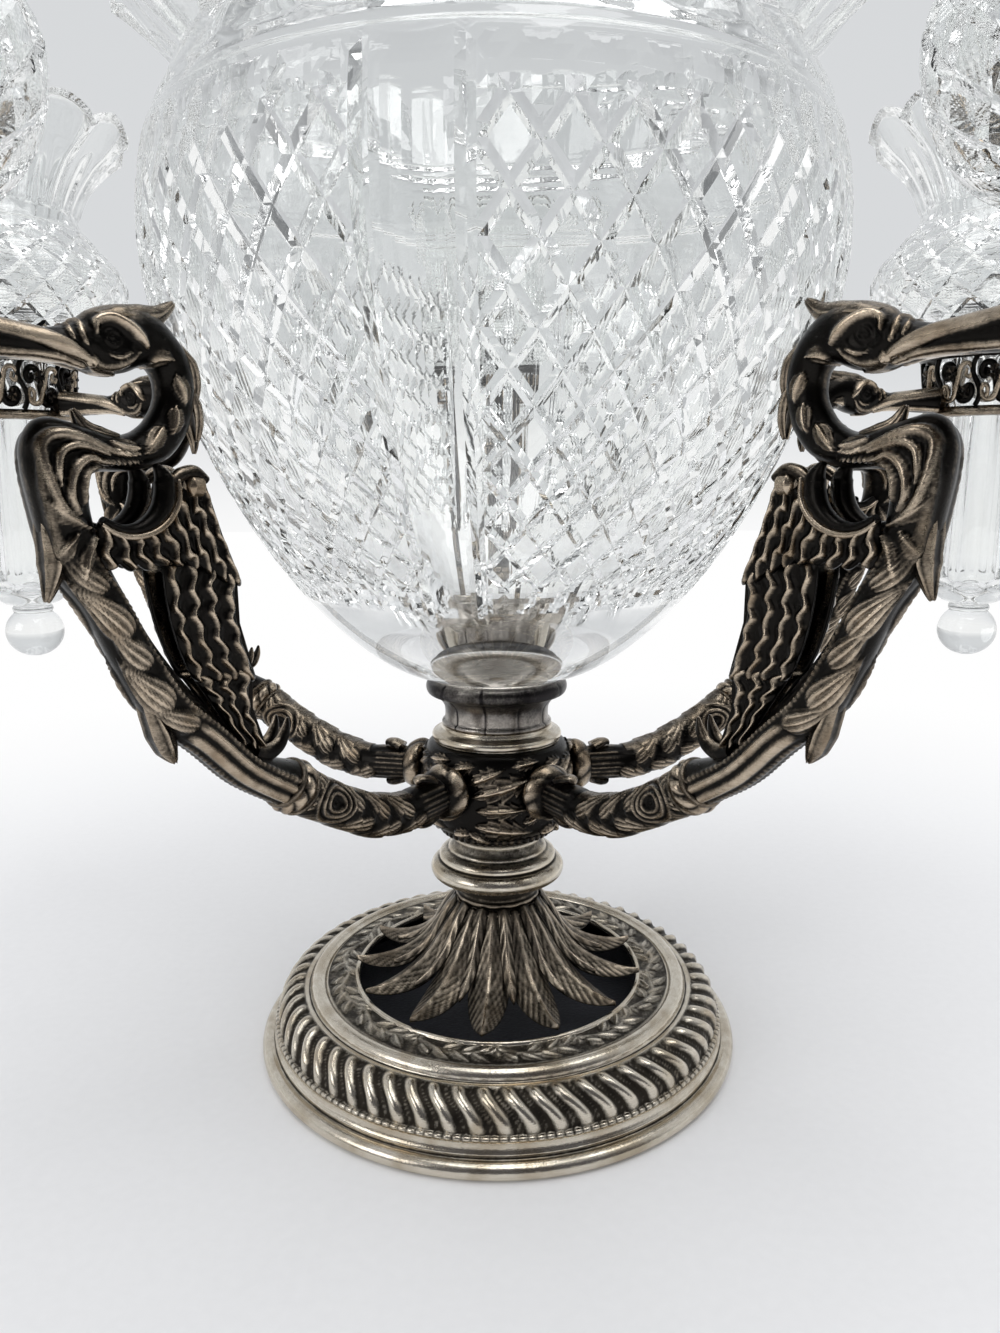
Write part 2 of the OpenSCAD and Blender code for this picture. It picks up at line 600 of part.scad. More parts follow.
module leaf_calyx() {
    tip_r = opening_r + leaf_lap;
    drop = calyx_h - calyx_cap_t - leaf_t;
    flare = [for (i = [0 : calyx_steps]) let (t = i / calyx_steps)
        [calyx_top_r + (opening_r - leaf_lap - calyx_top_r) * pow(t, calyx_bend),
            calyx_top_z - calyx_cap_t * t - drop * (1 - pow(1 - t, calyx_bend))]];
    under = [for (i = [calyx_steps : -1 : 1])
        [flare[i][0] - leaf_t * (1 - 0.5 * i / calyx_steps), flare[i][1] - leaf_t]];
    rim = [[tip_r + over, border_z + leaf_t], [tip_r + over, border_z]];
    cap = [[calyx_top_r - leaf_t, calyx_top_z - calyx_cap_t], [rod_bore_r, calyx_top_z - calyx_cap_t],
        [rod_bore_r, calyx_top_z]];
    star = [for (i = [0 : leaf_count - 1], p = leaf_edge)
        let (a = leaf_turn - 90 + 360 * (i + p[0]) / leaf_count)
            tip_r * p[1] * [cos(a), sin(a)]];
    color(silver)
        intersection() {
            rotate_extrude()
                polygon(concat(flare, rim, under, cap));
            translate([0, 0, border_z - over])
                linear_extrude(calyx_h + 2 * over)
                    polygon(star);
        }
}

module stem_collar() {
    color(dark_silver)
        rotate_extrude()
            polygon([[rod_bore_r, calyx_top_z], [stem_collar_r, calyx_top_z],
                [stem_collar_r, knop_z - stem_cove_h], [stem_collar_r - stem_cove_w, knop_z],
                [rod_bore_r, knop_z]]);
}

module knop() {
    bead_in_r = knop_r - knop_bead_r;
    cove_z = knop_z + 2 * knop_bead_r;
    bead = [for (a = [-90 : 22.5 : 90])
        [bead_in_r + knop_bead_r * cos(a), knop_z + knop_bead_r + knop_bead_r * sin(a)]];
    cove = [for (a = [22.5 : 22.5 : 90])
        [knop_neck_r + (bead_in_r - knop_neck_r) * (1 - sin(a)), cove_z + knop_cove_h * (1 - cos(a))]];
    color(silver)
        rotate_extrude()
            polygon(concat([[rod_bore_r, knop_z]], bead, cove,
                [[knop_neck_r, hub_z], [rod_bore_r, hub_z]]));
}

module hub() {
    foot_r0 = hub_r - hub_foot_w;
    shoulder_r0 = hub_r - hub_shoulder_w;
    lower = [for (a = [-90 : 30 : 0]) [foot_r0 + hub_foot_w * cos(a), hub_z + hub_foot_h * (1 + sin(a))]];
    upper = [for (a = [0 : 30 : 90])
        [shoulder_r0 + hub_shoulder_w * cos(a), hub_ring_z - hub_shoulder_h * (1 - sin(a))]];
    boss_end = boss_sink + boss_len;
    boss = [[0, 0], [boss_r - boss_edge, 0], [boss_r - boss_edge, boss_sink + boss_edge],
        [boss_r, boss_sink + 2 * boss_edge], [boss_r, boss_end - boss_edge], [boss_r - boss_edge, boss_end],
        [0, boss_end]];
    hole_w = tenon_w + 2 * tenon_gap;
    color(dark_silver)
        difference() {
            union() {
                rotate_extrude()
                    polygon(concat([[0, hub_z]], lower, upper, [[0, hub_ring_z]]));
                for (i = [1 : arm_count])
                    at_arm(i)
                        translate([hub_r - boss_sink, 0, arm_z])
                            rotate([0, 90, 0])
                                rotate_extrude()
                                    polygon(boss);
            }
            translate([0, 0, hub_z - over])
                cylinder(r = rod_bore_r, h = hub_h + 2 * over);
            for (i = [1 : arm_count])
                at_arm(i)
                    translate([boss_x - tenon_len - tenon_end_gap, -hole_w / 2, arm_z - hole_w / 2])
                        cube([tenon_len + tenon_end_gap + over, hole_w, hole_w]);
        }
}

module hub_ring() {
    edge = [for (a = [0 : 30 : 90])
        [hub_ring_r - hub_ring_round * (1 - cos(a)), socket_z - hub_ring_round * (1 - sin(a))]];
    color(silver)
        rotate_extrude()
            polygon(concat([[rod_bore_r, hub_ring_z], [hub_ring_r, hub_ring_z]], edge,
                [[rod_bore_r, socket_z]]));
}

module bowl_socket() {
    lip_r0 = socket_lip_r - lip_round;
    flank_h = socket_h - socket_lip_h;
    flank = [for (t = [0 : 0.2 : 1])
        [socket_waist_r + (lip_r0 - socket_waist_r) * pow(t, socket_bend), socket_z + flank_h * t]];
    lip = [for (a = [-60 : 30 : 90])
        [lip_r0 + lip_round * cos(a), socket_lip_z - 0.5 * socket_lip_h * (1 - sin(a))]];
    cup = [[lip_in_r, socket_lip_z], [cup_r, socket_floor_z + cup_side_h], [cup_r, socket_floor_z],
        [0, socket_floor_z]];
    color(dark_silver)
        difference() {
            rotate_extrude()
                polygon(concat([[0, socket_z]], flank, lip, cup));
            translate([0, 0, socket_z - over])
                cylinder(r = rod_bore_r, h = socket_floor_t + 2 * over);
            translate([0, 0, rod_top_z - head_h])
                cylinder(r = head_r + fit_gap, h = head_h + over);
        }
}

module tie_rod() {
    color(silver) {
        translate([0, 0, nut_z - rod_end])
            cylinder(r = rod_r, h = rod_top_z - nut_z + rod_end);
        translate([0, 0, rod_top_z - head_h])
            cylinder(r = head_r, h = head_h);
    }
}

module tie_washer() {
    color(silver)
        translate([0, 0, washer_z])
            difference() {
                cylinder(r = washer_r, h = washer_t);
                translate([0, 0, -over])
                    cylinder(r = rod_bore_r, h = washer_t + 2 * over);
            }
}

module tie_nut() {
    color(silver)
        translate([0, 0, nut_z])
            difference() {
                cylinder(r = nut_r, h = nut_h, $fn = 6);
                translate([0, 0, -over])
                    cylinder(r = rod_bore_r, h = nut_h + 2 * over);
            }
}

module bowl() {
    color(glass)
        difference() {
            union() {
                cut_vessel(bowl_rows(), net_turn, true);
                rotate_extrude()
                    polygon([[0, bowl_z], [bowl_peg_r, bowl_z], [bowl_peg_r, bowl_z + cup_side_h - glass_gap],
                        [lip_in_r - glass_gap, bowl_foot_z], [lip_in_r - glass_gap, bowl_foot_z + over],
                        [0, bowl_foot_z + over]]);
            }
            rotate_extrude()
                polygon(concat(bowl_inner(),
                    [[bowl_rim_r - bowl_wall, bowl_rim_z + over], [0, bowl_rim_z + over]]));
        }
}

module arm_root(i) {
    color(dark_silver)
        at_arm(i)
            difference() {
                union() {
                    loft(smooth(root_sections, 3), 12);
                    translate([boss_x - tenon_len, -tenon_w / 2, arm_z - tenon_w / 2])
                        cube([tenon_len + over, tenon_w, tenon_w]);
                }
                at_collar()
                    translate([0, 0, -collar_w / 2 - pin_len - fit_gap])
                        cylinder(r = pin_r + fit_gap, h = pin_len + over);
            }
}

module arm_collar(i) {
    bead_w = collar_w / 4;
    beads = [for (k = [-1, 1], a = [-90 : 30 : 60])
        [collar_r - collar_bead * (1 - cos(a)), bead_w * (k + sin(a))]];
    color(silver)
        at_arm(i)
            at_collar()
                union() {
                    rotate_extrude()
                        polygon(concat([[0, -collar_w / 2]], beads,
                            [[collar_r - collar_bead, collar_w / 2], [0, collar_w / 2]]));
                    translate([0, 0, -collar_w / 2 - pin_len])
                        cylinder(r = pin_r, h = collar_w + 2 * pin_len);
                }
}

module bird(i) {
    color(dark_silver)
        at_arm(i)
            difference() {
                union() {
                    loft(smooth(bird_sections, 2), 12);
                    plate(crest_plan, crest_t);
                    plate(breast_plan, leaf_tip_t);
                    plate(leaf_plan, leaf_tip_t);
                    for (side = [-1, 1]) {
                        plate(upper_wing_plan, wing_t, side * upper_wing_y);
                        plate(middle_wing_plan, wing_t, side * middle_wing_y);
                        plate(lower_wing_plan, wing_t, side * lower_wing_y);
                    }
                }
                at_collar()
                    translate([0, 0, collar_w / 2 - over])
                        cylinder(r = pin_r + fit_gap, h = pin_len + over + fit_gap);
                translate([beak_x - tang_len - fit_gap, 0, beak_z])
                    rotate([0, 90, 0])
                        cylinder(r = tang_r + fit_gap, h = tang_len + over);
            }
}

module gallery(i) {
    floor_in_r = tube_r + glass_gap;
    foot_in_r = gallery_foot_r - gallery_wall;
    lip = gallery_lip;
    outside = [[gallery_foot_r + lip, -lip], [gallery_foot_r + lip, lip], [gallery_foot_r, 2 * lip],
        [gallery_r - lip, gallery_h - 3 * lip], [gallery_r, gallery_h - 2 * lip], [gallery_r, gallery_h]];
    inside = [[seat_in_r, gallery_h], [seat_in_r + lip, gallery_h - 2 * lip], [foot_in_r, lip],
        [floor_in_r, lip], [floor_in_r, -lip]];
    color(dark_silver)
        at_arm(i) {
            difference() {
                translate([gallery_x, 0, gallery_z])
                    rotate_extrude()
                        polygon(concat(outside, inside));
                for (k = [0 : window_count - 1])
                    translate([gallery_x, 0, gallery_z + gallery_h / 2])
                        rotate([0, 90, 180 + 360 * (k + 0.5) / window_count])
                            cylinder(r = window_r, h = 2 * gallery_r);
            }
            translate([beak_x, -lug_w / 2, beak_z - lug_w / 2])
                cube([lug_len, lug_w, lug_w]);
            translate([beak_x - tang_len, 0, beak_z])
                rotate([0, 90, 0])
                    cylinder(r = tang_r, h = tang_len + over);
        }
}

module vase(i) {
    ball = [for (a = [-90 : 20 : ball_top_angle])
        [ball_r * cos(a), ball_z + ball_squash * ball_r * sin(a)]];
    collar = [[vase_collar_r, tube_end_z - vase_collar_h / 2]];
    tube = [for (a = [0 : 30 : 90])
        [vase_collar_r + (tube_r - vase_collar_r) * sin(a), tube_end_z + tube_round_h * (1 - cos(a))]];
    throat = [[tube_r, gallery_z + throat_h], [seat_in_r - glass_gap, seat_z],
        [seat_in_r - glass_gap, seat_z + over], [0, seat_z + over]];
    color(glass)
        at_arm(i)
            translate([gallery_x, 0, 0])
                difference() {
                    union() {
                        cut_vessel(vase_rows(), 0, false);
                        rotate_extrude()
                            polygon(concat(ball, collar, tube, throat));
                    }
                    rotate_extrude()
                        polygon(concat(vase_inner(),
                            [[vase_rim_r - vase_wall, vase_rim_z + over], [0, vase_rim_z + over]]));
                }
}

foot();
base_plate();
leaf_calyx();
stem_collar();
knop();
hub();
hub_ring();
bowl_socket();
tie_rod();
tie_washer();
tie_nut();
bowl();
for (i = [1 : arm_count]) {
    arm_root(i);
    arm_collar(i);
    bird(i);
    gallery(i);
    vase(i);
}
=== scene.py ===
# %% [markdown]
# An epergne is a centrepiece for a dinner table. This one has a spun silver foot, a leafy stem, five cast
# branches in the shape of long-beaked birds, a large cut-glass bowl and a small cut-glass vase on every
# branch. The solids come from a CAD part, which is loaded first and never moved. Each visible piece is then
# made again as a fine surface that takes its place. Everything is worked out in millimetres and put into
# Blender in metres.

# %% Load the frame
import json

import bpy
import numpy as np
from mathutils import Euler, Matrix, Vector

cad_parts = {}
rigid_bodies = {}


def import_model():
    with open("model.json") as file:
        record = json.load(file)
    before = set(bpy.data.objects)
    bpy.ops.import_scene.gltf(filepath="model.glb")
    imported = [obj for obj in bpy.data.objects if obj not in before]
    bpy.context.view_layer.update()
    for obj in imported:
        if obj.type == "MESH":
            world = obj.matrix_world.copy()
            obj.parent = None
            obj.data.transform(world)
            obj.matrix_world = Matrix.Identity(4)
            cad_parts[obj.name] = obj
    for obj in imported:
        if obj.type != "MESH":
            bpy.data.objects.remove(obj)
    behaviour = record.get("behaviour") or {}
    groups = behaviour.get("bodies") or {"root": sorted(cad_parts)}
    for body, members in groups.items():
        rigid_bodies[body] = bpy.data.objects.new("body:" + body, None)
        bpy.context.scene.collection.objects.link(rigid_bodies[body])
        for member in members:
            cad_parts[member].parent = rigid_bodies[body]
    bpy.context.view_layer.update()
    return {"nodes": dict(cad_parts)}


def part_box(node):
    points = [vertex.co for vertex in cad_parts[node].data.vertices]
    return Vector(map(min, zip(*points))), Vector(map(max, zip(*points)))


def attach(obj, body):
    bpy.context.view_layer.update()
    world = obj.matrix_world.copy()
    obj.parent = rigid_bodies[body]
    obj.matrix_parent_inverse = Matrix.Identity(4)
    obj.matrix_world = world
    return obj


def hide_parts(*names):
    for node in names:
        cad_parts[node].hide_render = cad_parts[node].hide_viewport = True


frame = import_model()
MM = 0.001
ARMS = 5
ARM_ANGLES = np.radians(-54 + 72 * np.arange(ARMS))


def span(node):
    """The lowest and highest corner of a CAD node, in millimetres."""
    return [np.array(corner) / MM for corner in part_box(node)]


def level(node):
    """The lowest and highest level of a CAD node, in millimetres."""
    return [corner[2] for corner in span(node)]


def placed(name, data):
    """A new object in the scene, at the origin."""
    made = bpy.data.objects.new(name, data)
    bpy.context.scene.collection.objects.link(made)
    return made


# %% [markdown]
# The camera stands where the photographer stood: a little above the branches, close to the piece and tipped
# down. A short lens this close makes the near birds large and the bowl tower over them, so the distance
# matters more than the lens. Blender gives a lens in millimetres for a 36 mm sensor along the image's longer
# side.

# %% Camera
IMAGE_HEIGHT = 1333
FOCAL_PIXELS = 967.5
CAMERA_PLACE = (1.14 * MM, -308.6 * MM, 188.0 * MM)
CAMERA_PITCH, CAMERA_ROLL, CAMERA_TURN = np.radians([11.21, -0.19, 0.61])
SENSOR = 36.0

lens = bpy.data.cameras.new("photo_lens")
lens.sensor_width = SENSOR
lens.lens = FOCAL_PIXELS / IMAGE_HEIGHT * SENSOR
lens.clip_start = 0.01
camera = placed("photo_camera", lens)
x, y, z = CAMERA_PLACE
c, s = np.cos(CAMERA_TURN), np.sin(CAMERA_TURN)
camera.location = (x * c - y * s, x * s + y * c, z)
tilt = Euler((np.pi / 2 - CAMERA_PITCH, 0, CAMERA_TURN)).to_quaternion()
roll = Euler((0, 0, CAMERA_ROLL)).to_quaternion()
camera.rotation_euler = (tilt @ roll).to_euler()
bpy.context.scene.camera = camera
print("camera lens:", round(lens.lens, 2), "mm")

# %% [markdown]
# Shader maths reads best as ordinary arithmetic. The first class below wraps a socket, so that an expression
# such as 0.25 + 0.2 * rings adds the Math nodes that work it out. Every other node comes from one method,
# which takes the node's type, its settings and what goes into its sockets.

# %% Node helpers
def put(tree, socket, value):
    """Links a value to a socket, or writes a plain number or colour on it."""
    if isinstance(value, Value):
        tree.links.new(value.socket, socket)
    else:
        socket.default_value = value


class Value:
    """A socket whose arithmetic adds Math nodes."""

    def __init__(self, tree, socket):
        self.tree = tree
        self.socket = socket

    def math(self, operation, other):
        node = self.tree.nodes.new("ShaderNodeMath")
        node.operation = operation
        put(self.tree, node.inputs[0], self)
        put(self.tree, node.inputs[1], other)
        return Value(self.tree, node.outputs[0])

    def __add__(self, other):
        return self.math("ADD", other)

    def __sub__(self, other):
        return self.math("SUBTRACT", other)

    def __mul__(self, other):
        return self.math("MULTIPLY", other)

    __radd__ = __add__
    __rmul__ = __mul__


class Nodes:
    """A node tree that is filled one node at a time."""

    def __init__(self, tree):
        self.tree = tree
        tree.nodes.clear()

    def add(self, kind, settings=(), inputs=(), output=0):
        """Adds a node, writes its settings, fills its sockets and returns one of its outputs."""
        node = self.tree.nodes.new("ShaderNode" + kind)
        for name, value in dict(settings).items():
            setattr(node, name, value)
        for name, value in dict(inputs).items():
            put(self.tree, node.inputs[name], value)
        return Value(self.tree, node.outputs[output]) if node.outputs else None

    def blend(self, share, first, second):
        """The colour that lies between two colours at a share from 0 to 1."""
        return self.add("Mix", {"data_type": "RGBA"}, {0: share, 6: first, 7: second}, 2)

    def ease(self, value, low, high):
        """0 below low, 1 above high, and a smooth step between."""
        return self.add("MapRange", {"interpolation_type": "SMOOTHSTEP"},
                        {"Value": value, "From Min": low, "From Max": high})

    def noise(self, place, scale, detail=3.0):
        """Cloudy noise between 0 and 1, with so many clouds to the metre."""
        return self.add("TexNoise", inputs={"Vector": place, "Scale": scale, "Detail": detail})

    def split(self, value, *names):
        """Other outputs of the node that a value comes from."""
        return [Value(self.tree, value.socket.node.outputs[name]) for name in names]


class Finish(Nodes):
    """A new material's node tree, which starts with the place on the object."""

    def __init__(self, name):
        self.material = bpy.data.materials.new(name)
        self.material.use_nodes = True
        super().__init__(self.material.node_tree)
        self.place = self.add("TexCoord", output="Object")

    def stretched(self, scale):
        """The place, scaled along each axis."""
        return self.add("Mapping", inputs={"Vector": self.place, "Scale": scale})

    def bump(self, strength, distance, height):
        """Normals that follow a height."""
        return self.add("Bump", inputs={"Strength": strength, "Distance": distance, "Height": height})

    def ends(self, shader):
        """Gives a shader to the output, and the material back."""
        self.add("OutputMaterial", inputs={"Surface": shader})
        return self.material

    def principled(self, inputs):
        """The material, ended in one Principled shader."""
        return self.ends(self.add("BsdfPrincipled", inputs=inputs))


print("node helpers ready")

# %% [markdown]
# The studio is a white sweep. The world lights the piece evenly. What a camera, a mirror or a lens sees of
# the world is a pale backdrop that turns grey towards the top. On the photographer's side silver also shows
# the dark room, because it only sparkles when it has something dark to show. Cut glass sends a ray round many
# times before it leaves, so light is followed for many bounces, and its room grows pale slowly from near to
# far.

# %% Studio
WORLD_LIGHT = (0.80, 0.81, 0.83, 1)
BACKDROP = (1.0, 1.0, 1.0, 1)
WALL = (0.685, 0.70, 0.715, 1)
OVERHEAD = (0.56, 0.57, 0.59, 1)
ROOM = (0.09, 0.09, 0.10, 1)
VEIL = (0.10, 0.105, 0.11, 1)
BOUNCES = 32
FLOOR_HALF = 3.0
FLOOR_FADE = (0.2, 0.6)

world = bpy.data.worlds.new("studio")
bpy.context.scene.world = world
world.use_nodes = True
sky = Nodes(world.node_tree)
direction = sky.add("SeparateXYZ", inputs={"Vector": sky.add("TexCoord", output="Generated")})
away, upward = sky.split(direction, "Y", "Z")
backdrop = sky.blend(sky.ease(upward, -0.12, 0.14), BACKDROP, WALL)
backdrop = sky.blend(sky.ease(upward, 0.30, 0.90), backdrop, OVERHEAD)
room = sky.blend(sky.ease(away + 0.25 * upward, -0.55, 0.05), ROOM, backdrop)
veiled = sky.blend(sky.ease(away, -0.75, 0.85), VEIL, backdrop)
rays = sky.split(sky.add("LightPath"), "Is Glossy Ray", "Is Singular Ray", "Is Camera Ray")
seen = WORLD_LIGHT
for ray, sight in zip(rays, (room, veiled, backdrop)):
    seen = sky.blend(ray, seen, sight)
sky.add("OutputWorld", inputs={"Surface": sky.add("Background", inputs={"Color": seen})})


def lamp(name, place, aim, size, power):
    """A square soft box at a place, turned to face a point."""
    light = bpy.data.lights.new(name, "AREA")
    light.size = size
    light.energy = power
    box = placed(name, light)
    box.location = place
    box.rotation_euler = (Vector(aim) - Vector(place)).to_track_quat("-Z", "Y").to_euler()


lamp("overhead_box", (0.14, -0.1, 1.1), (0, 0, 0.1), 0.8, 5.5)
lamp("left_box", (-0.9, -0.7, 0.6), (0, 0, 0.15), 0.6, 3)

paper = Finish("paper")
distance = paper.add("VectorMath", {"operation": "LENGTH"}, {0: paper.place}, "Value")
fibre = paper.blend(paper.noise(paper.place, 300.0), (0.80, 0.80, 0.805, 1), (0.84, 0.84, 0.845, 1))
matt = paper.add("BsdfDiffuse", inputs={"Color": fibre})
glow = paper.add("Emission", inputs={"Color": BACKDROP})
sheet = paper.add("MixShader", inputs={0: paper.ease(distance, *FLOOR_FADE), 1: matt, 2: glow})
floor_mesh = bpy.data.meshes.new("floor")
corners = [(x * FLOOR_HALF, y * FLOOR_HALF, 0) for x, y in ((-1, -1), (1, -1), (1, 1), (-1, 1))]
floor_mesh.from_pydata(corners, [], [(0, 1, 2, 3)])
floor_mesh.materials.append(paper.ends(sheet))
placed("floor", floor_mesh)
bpy.context.scene.view_settings.view_transform = "Standard"
for bounces in ("max_bounces", "glossy_bounces", "transmission_bounces"):
    setattr(bpy.context.scene.cycles, bounces, BOUNCES)
print("studio: world, 2 soft boxes and a floor")

# %% [markdown]
# Old silver is not one colour. In the hollows it keeps a black skin of oxide, on the ridges it is rubbed
# bright, and between them it turns warm brown. Each surface below carries a number named relief, from 0 in a
# hollow to 1 on a ridge, and the finish turns that number into colour and gloss. Noise breaks up the edge of
# the dark, as real wear does. On the birds the number also carries a painted highlight on the top of the
# head and along the edges, and in the galleries it carries painted shade on the scrolls behind.

# %% Silver finishes
def silver_finish(name, dark, bright, stained, gloss, wear):
    """Silver that is dark where relief is low and bright where it is high.

    wear gives the relief at which the metal starts to be rubbed and at which it is bright. gloss gives the
    roughness of the hollows and of the ridges. Stains change the bright metal in soft clouds.
    """
    n = Finish(name)
    relief = n.add("Attribute", {"attribute_name": "relief"}, output="Fac")
    clouds = n.noise(n.place, 90.0, 4.0)
    rubs = n.noise(n.place, 330.0)
    grain = n.noise(n.place, 1500.0)
    scratches = n.noise(n.stretched((1, 1, 9)), 420.0, 5.0)
    worn = n.ease(relief + 0.35 * (clouds - 0.5) + 0.4 * (rubs - 0.5) + 0.3 * (grain - 0.5), *wear)
    rubbed = n.blend(n.ease(clouds, 0.42, 0.72), bright, stained)
    colour = n.blend(worn, dark, n.blend(n.ease(scratches, 0.35, 0.7) * 0.35, rubbed, stained))
    rough = gloss[0] + worn * (gloss[1] - gloss[0]) + 0.16 * (scratches - 0.5)
    pits = n.bump(0.25, 0.0002, grain + 0.5 * scratches)
    return n.principled({"Base Color": colour, "Metallic": 1.0, "Roughness": rough, "Normal": pits})


SILVER = silver_finish("polished_silver", (0.035, 0.03, 0.024, 1), (0.715, 0.66, 0.565, 1),
                       (0.48, 0.41, 0.31, 1), (0.5, 0.22), (0.10, 0.62))
ANTIQUE = silver_finish("antique_silver", (0.022, 0.019, 0.015, 1), (0.60, 0.51, 0.40, 1),
                        (0.30, 0.24, 0.175, 1), (0.42, 0.26), (0.12, 0.90))
DARK_SILVER = silver_finish("oxidised_silver", (0.012, 0.011, 0.010, 1), (0.66, 0.55, 0.425, 1),
                            (0.30, 0.23, 0.16, 1), (0.30, 0.23), (0.20, 1.0))
CUP_SILVER = silver_finish("cup_silver", (0.022, 0.020, 0.021, 1), (0.74, 0.69, 0.62, 1),
                        (0.40, 0.36, 0.33, 1), (0.34, 0.24), (0.12, 1.1))
print("finishes:", SILVER.name, ANTIQUE.name, DARK_SILVER.name, CUP_SILVER.name)

# %% [markdown]
# Cut lead glass is clear, bends light strongly and is polished, so its finish is almost nothing: all of its
# sparkle comes from the shape. A trace of dust greys some patches. Baize, with its short felted fibres,
# covers the weighted plate under the foot. The clamp inside the stem is steel with the lathe's fine rings.

# %% Glass, baize and steel
glass = Finish("cut_glass")
dust = glass.ease(glass.noise(glass.place, 35.0, 5.0), 0.5, 0.8)
tint = glass.blend(dust, (0.945, 0.955, 0.95, 1), (0.915, 0.925, 0.915, 1))
GLASS = glass.principled({"Base Color": tint, "Roughness": 0.0, "Transmission Weight": 1.0, "IOR": 1.54})

baize = Finish("baize")
felt = baize.noise(baize.place, 900.0, 6.0)
blue_black = baize.blend(felt, (0.008, 0.009, 0.014, 1), (0.035, 0.04, 0.058, 1))
BAIZE = baize.principled({"Base Color": blue_black, "Roughness": 0.85, "Sheen Weight": 0.3,
                          "Normal": baize.bump(0.5, 0.0005, felt)})

steel = Finish("turned_steel")
rings = steel.noise(steel.stretched((0.1, 0.1, 1)), 2500.0, 2.0)
grey = steel.blend(rings, (0.38, 0.38, 0.39, 1), (0.50, 0.50, 0.51, 1))
STEEL = steel.principled({"Base Color": grey, "Metallic": 1.0, "Roughness": 0.25 + 0.2 * rings})

for node, material in (("base_plate", BAIZE), ("tie_rod", STEEL), ("tie_washer", STEEL), ("tie_nut", STEEL)):
    slots = frame["nodes"][node].data.materials
    slots.clear()
    slots.append(material)
print("finishes:", GLASS.name, BAIZE.name, STEEL.name)

# %% [markdown]
# Every surface is a grid of points: rows run along a profile or a path, and columns run round and close on
# themselves. A function gives all the points at once as one array. The helpers below turn such a grid into
# faces, close its two ends, make the faces point outwards and join several grids into one piece.

# %% Grids and pieces
def unit(value):
    """A value held between 0 and 1."""
    return np.clip(value, 0, 1)


def turns(count):
    """The angles of so many even steps round a circle."""
    return 2 * np.pi * np.arange(count) / count


def joined(*stretches):
    """Stretches of points, one after the other."""
    return np.concatenate(stretches)


def polar(radius, angle, z):
    """Points at radii, angles and levels about an upright axis."""
    return np.stack(np.broadcast_arrays(radius * np.cos(angle), radius * np.sin(angle), z), -1)


def patch(points, relief=0.5, ring=False, cut=False, split=False):
    """Faces over a grid of points, as a dictionary of arrays.

    A ring's rows also close on themselves; otherwise each end is closed by a fan round its middle point. The
    sign of the volume says whether the faces point outwards. Rows marked in cut are left flat. A square is
    split into two triangles along one diagonal, or along the other where split says so.
    """
    rows, columns = points.shape[:2]
    row = np.arange(rows if ring else rows - 1)[:, None]
    column = np.arange(columns)[None, :]
    after, right = (row + 1) % rows, (column + 1) % columns
    corners = np.broadcast_arrays(row * columns + column, row * columns + right,
                                  after * columns + right, after * columns + column)
    odd, flat = (np.broadcast_to(mark, corners[0].shape).ravel() for mark in (split, cut))
    a, b, c, d = (x.ravel() for x in corners)
    third, first = np.where(odd, d, c), np.where(odd, b, a)
    triangles = joined(np.stack([a, b, third], 1), np.stack([first, c, d], 1))
    smooth = ~joined(flat, flat)
    vertices, relief = points.reshape(-1, 3), np.broadcast_to(relief, (rows, columns)).ravel()
    if not ring:
        edge, beside = column.ravel(), right.ravel()
        low, last = len(vertices), (rows - 1) * columns
        triangles = joined(triangles, np.stack([beside, edge, 0 * edge + low], 1),
                           np.stack([last + edge, last + beside, 0 * edge + low + 1], 1))
        smooth = joined(smooth, np.zeros(2 * columns, bool))
        vertices = joined(vertices, [points[0].mean(0), points[-1].mean(0)])
        relief = joined(relief, [relief[:columns].mean(), relief[-columns:].mean()])
    p, q, r = (vertices[triangles[:, k]] for k in range(3))
    if np.einsum("ij,ij->", p, np.cross(q, r)) < 0:
        triangles = triangles[:, ::-1]
    return {"vertices": vertices, "triangles": triangles, "smooth": smooth, "relief": relief}


def turned(shape, angle):
    """A patch turned about the stem's axis."""
    x, y, z = shape["vertices"].T
    c, s = np.cos(angle), np.sin(angle)
    return {**shape, "vertices": np.stack([c * x - s * y, s * x + c * y, z], 1)}


def moved(shapes, x, z):
    """Patches moved outwards along +X and up."""
    return [{**shape, "vertices": shape["vertices"] + (x, 0, z)} for shape in shapes]


def piece(name, patches, material, body, nodes):
    """Joins patches into one object at the origin, which rides on a body and stands for CAD nodes."""
    starts = np.cumsum([0] + [len(p["vertices"]) for p in patches])
    keys = ("vertices", "smooth", "relief")
    vertices, smooth, relief = (joined(*(p[key] for p in patches)) for key in keys)
    triangles = joined(*(p["triangles"] + start for p, start in zip(patches, starts)))
    mesh = bpy.data.meshes.new(name)
    mesh.vertices.add(len(vertices))
    mesh.vertices.foreach_set("co", (vertices * MM).ravel())
    mesh.loops.add(triangles.size)
    mesh.loops.foreach_set("vertex_index", triangles.ravel())
    mesh.polygons.add(len(triangles))
    mesh.polygons.foreach_set("loop_start", np.arange(0, triangles.size, 3))
    mesh.polygons.foreach_set("use_smooth", smooth)
    mesh.update(calc_edges=True)
    values = mesh.attributes.new("relief", "FLOAT", "POINT")
    values.data.foreach_set("value", relief.astype(np.float32))
    mesh.materials.append(material)
    made = placed(name, mesh)
    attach(made, body)
    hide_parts(*nodes)
    print(name, len(triangles), "triangles")


# %% [markdown]
# A few curves and carvings are used all over the piece. A turned part is a profile carried round the axis. A
# cast part is an oval carried along a path. Carved leaves are heights that are added along the surface's
# normals.

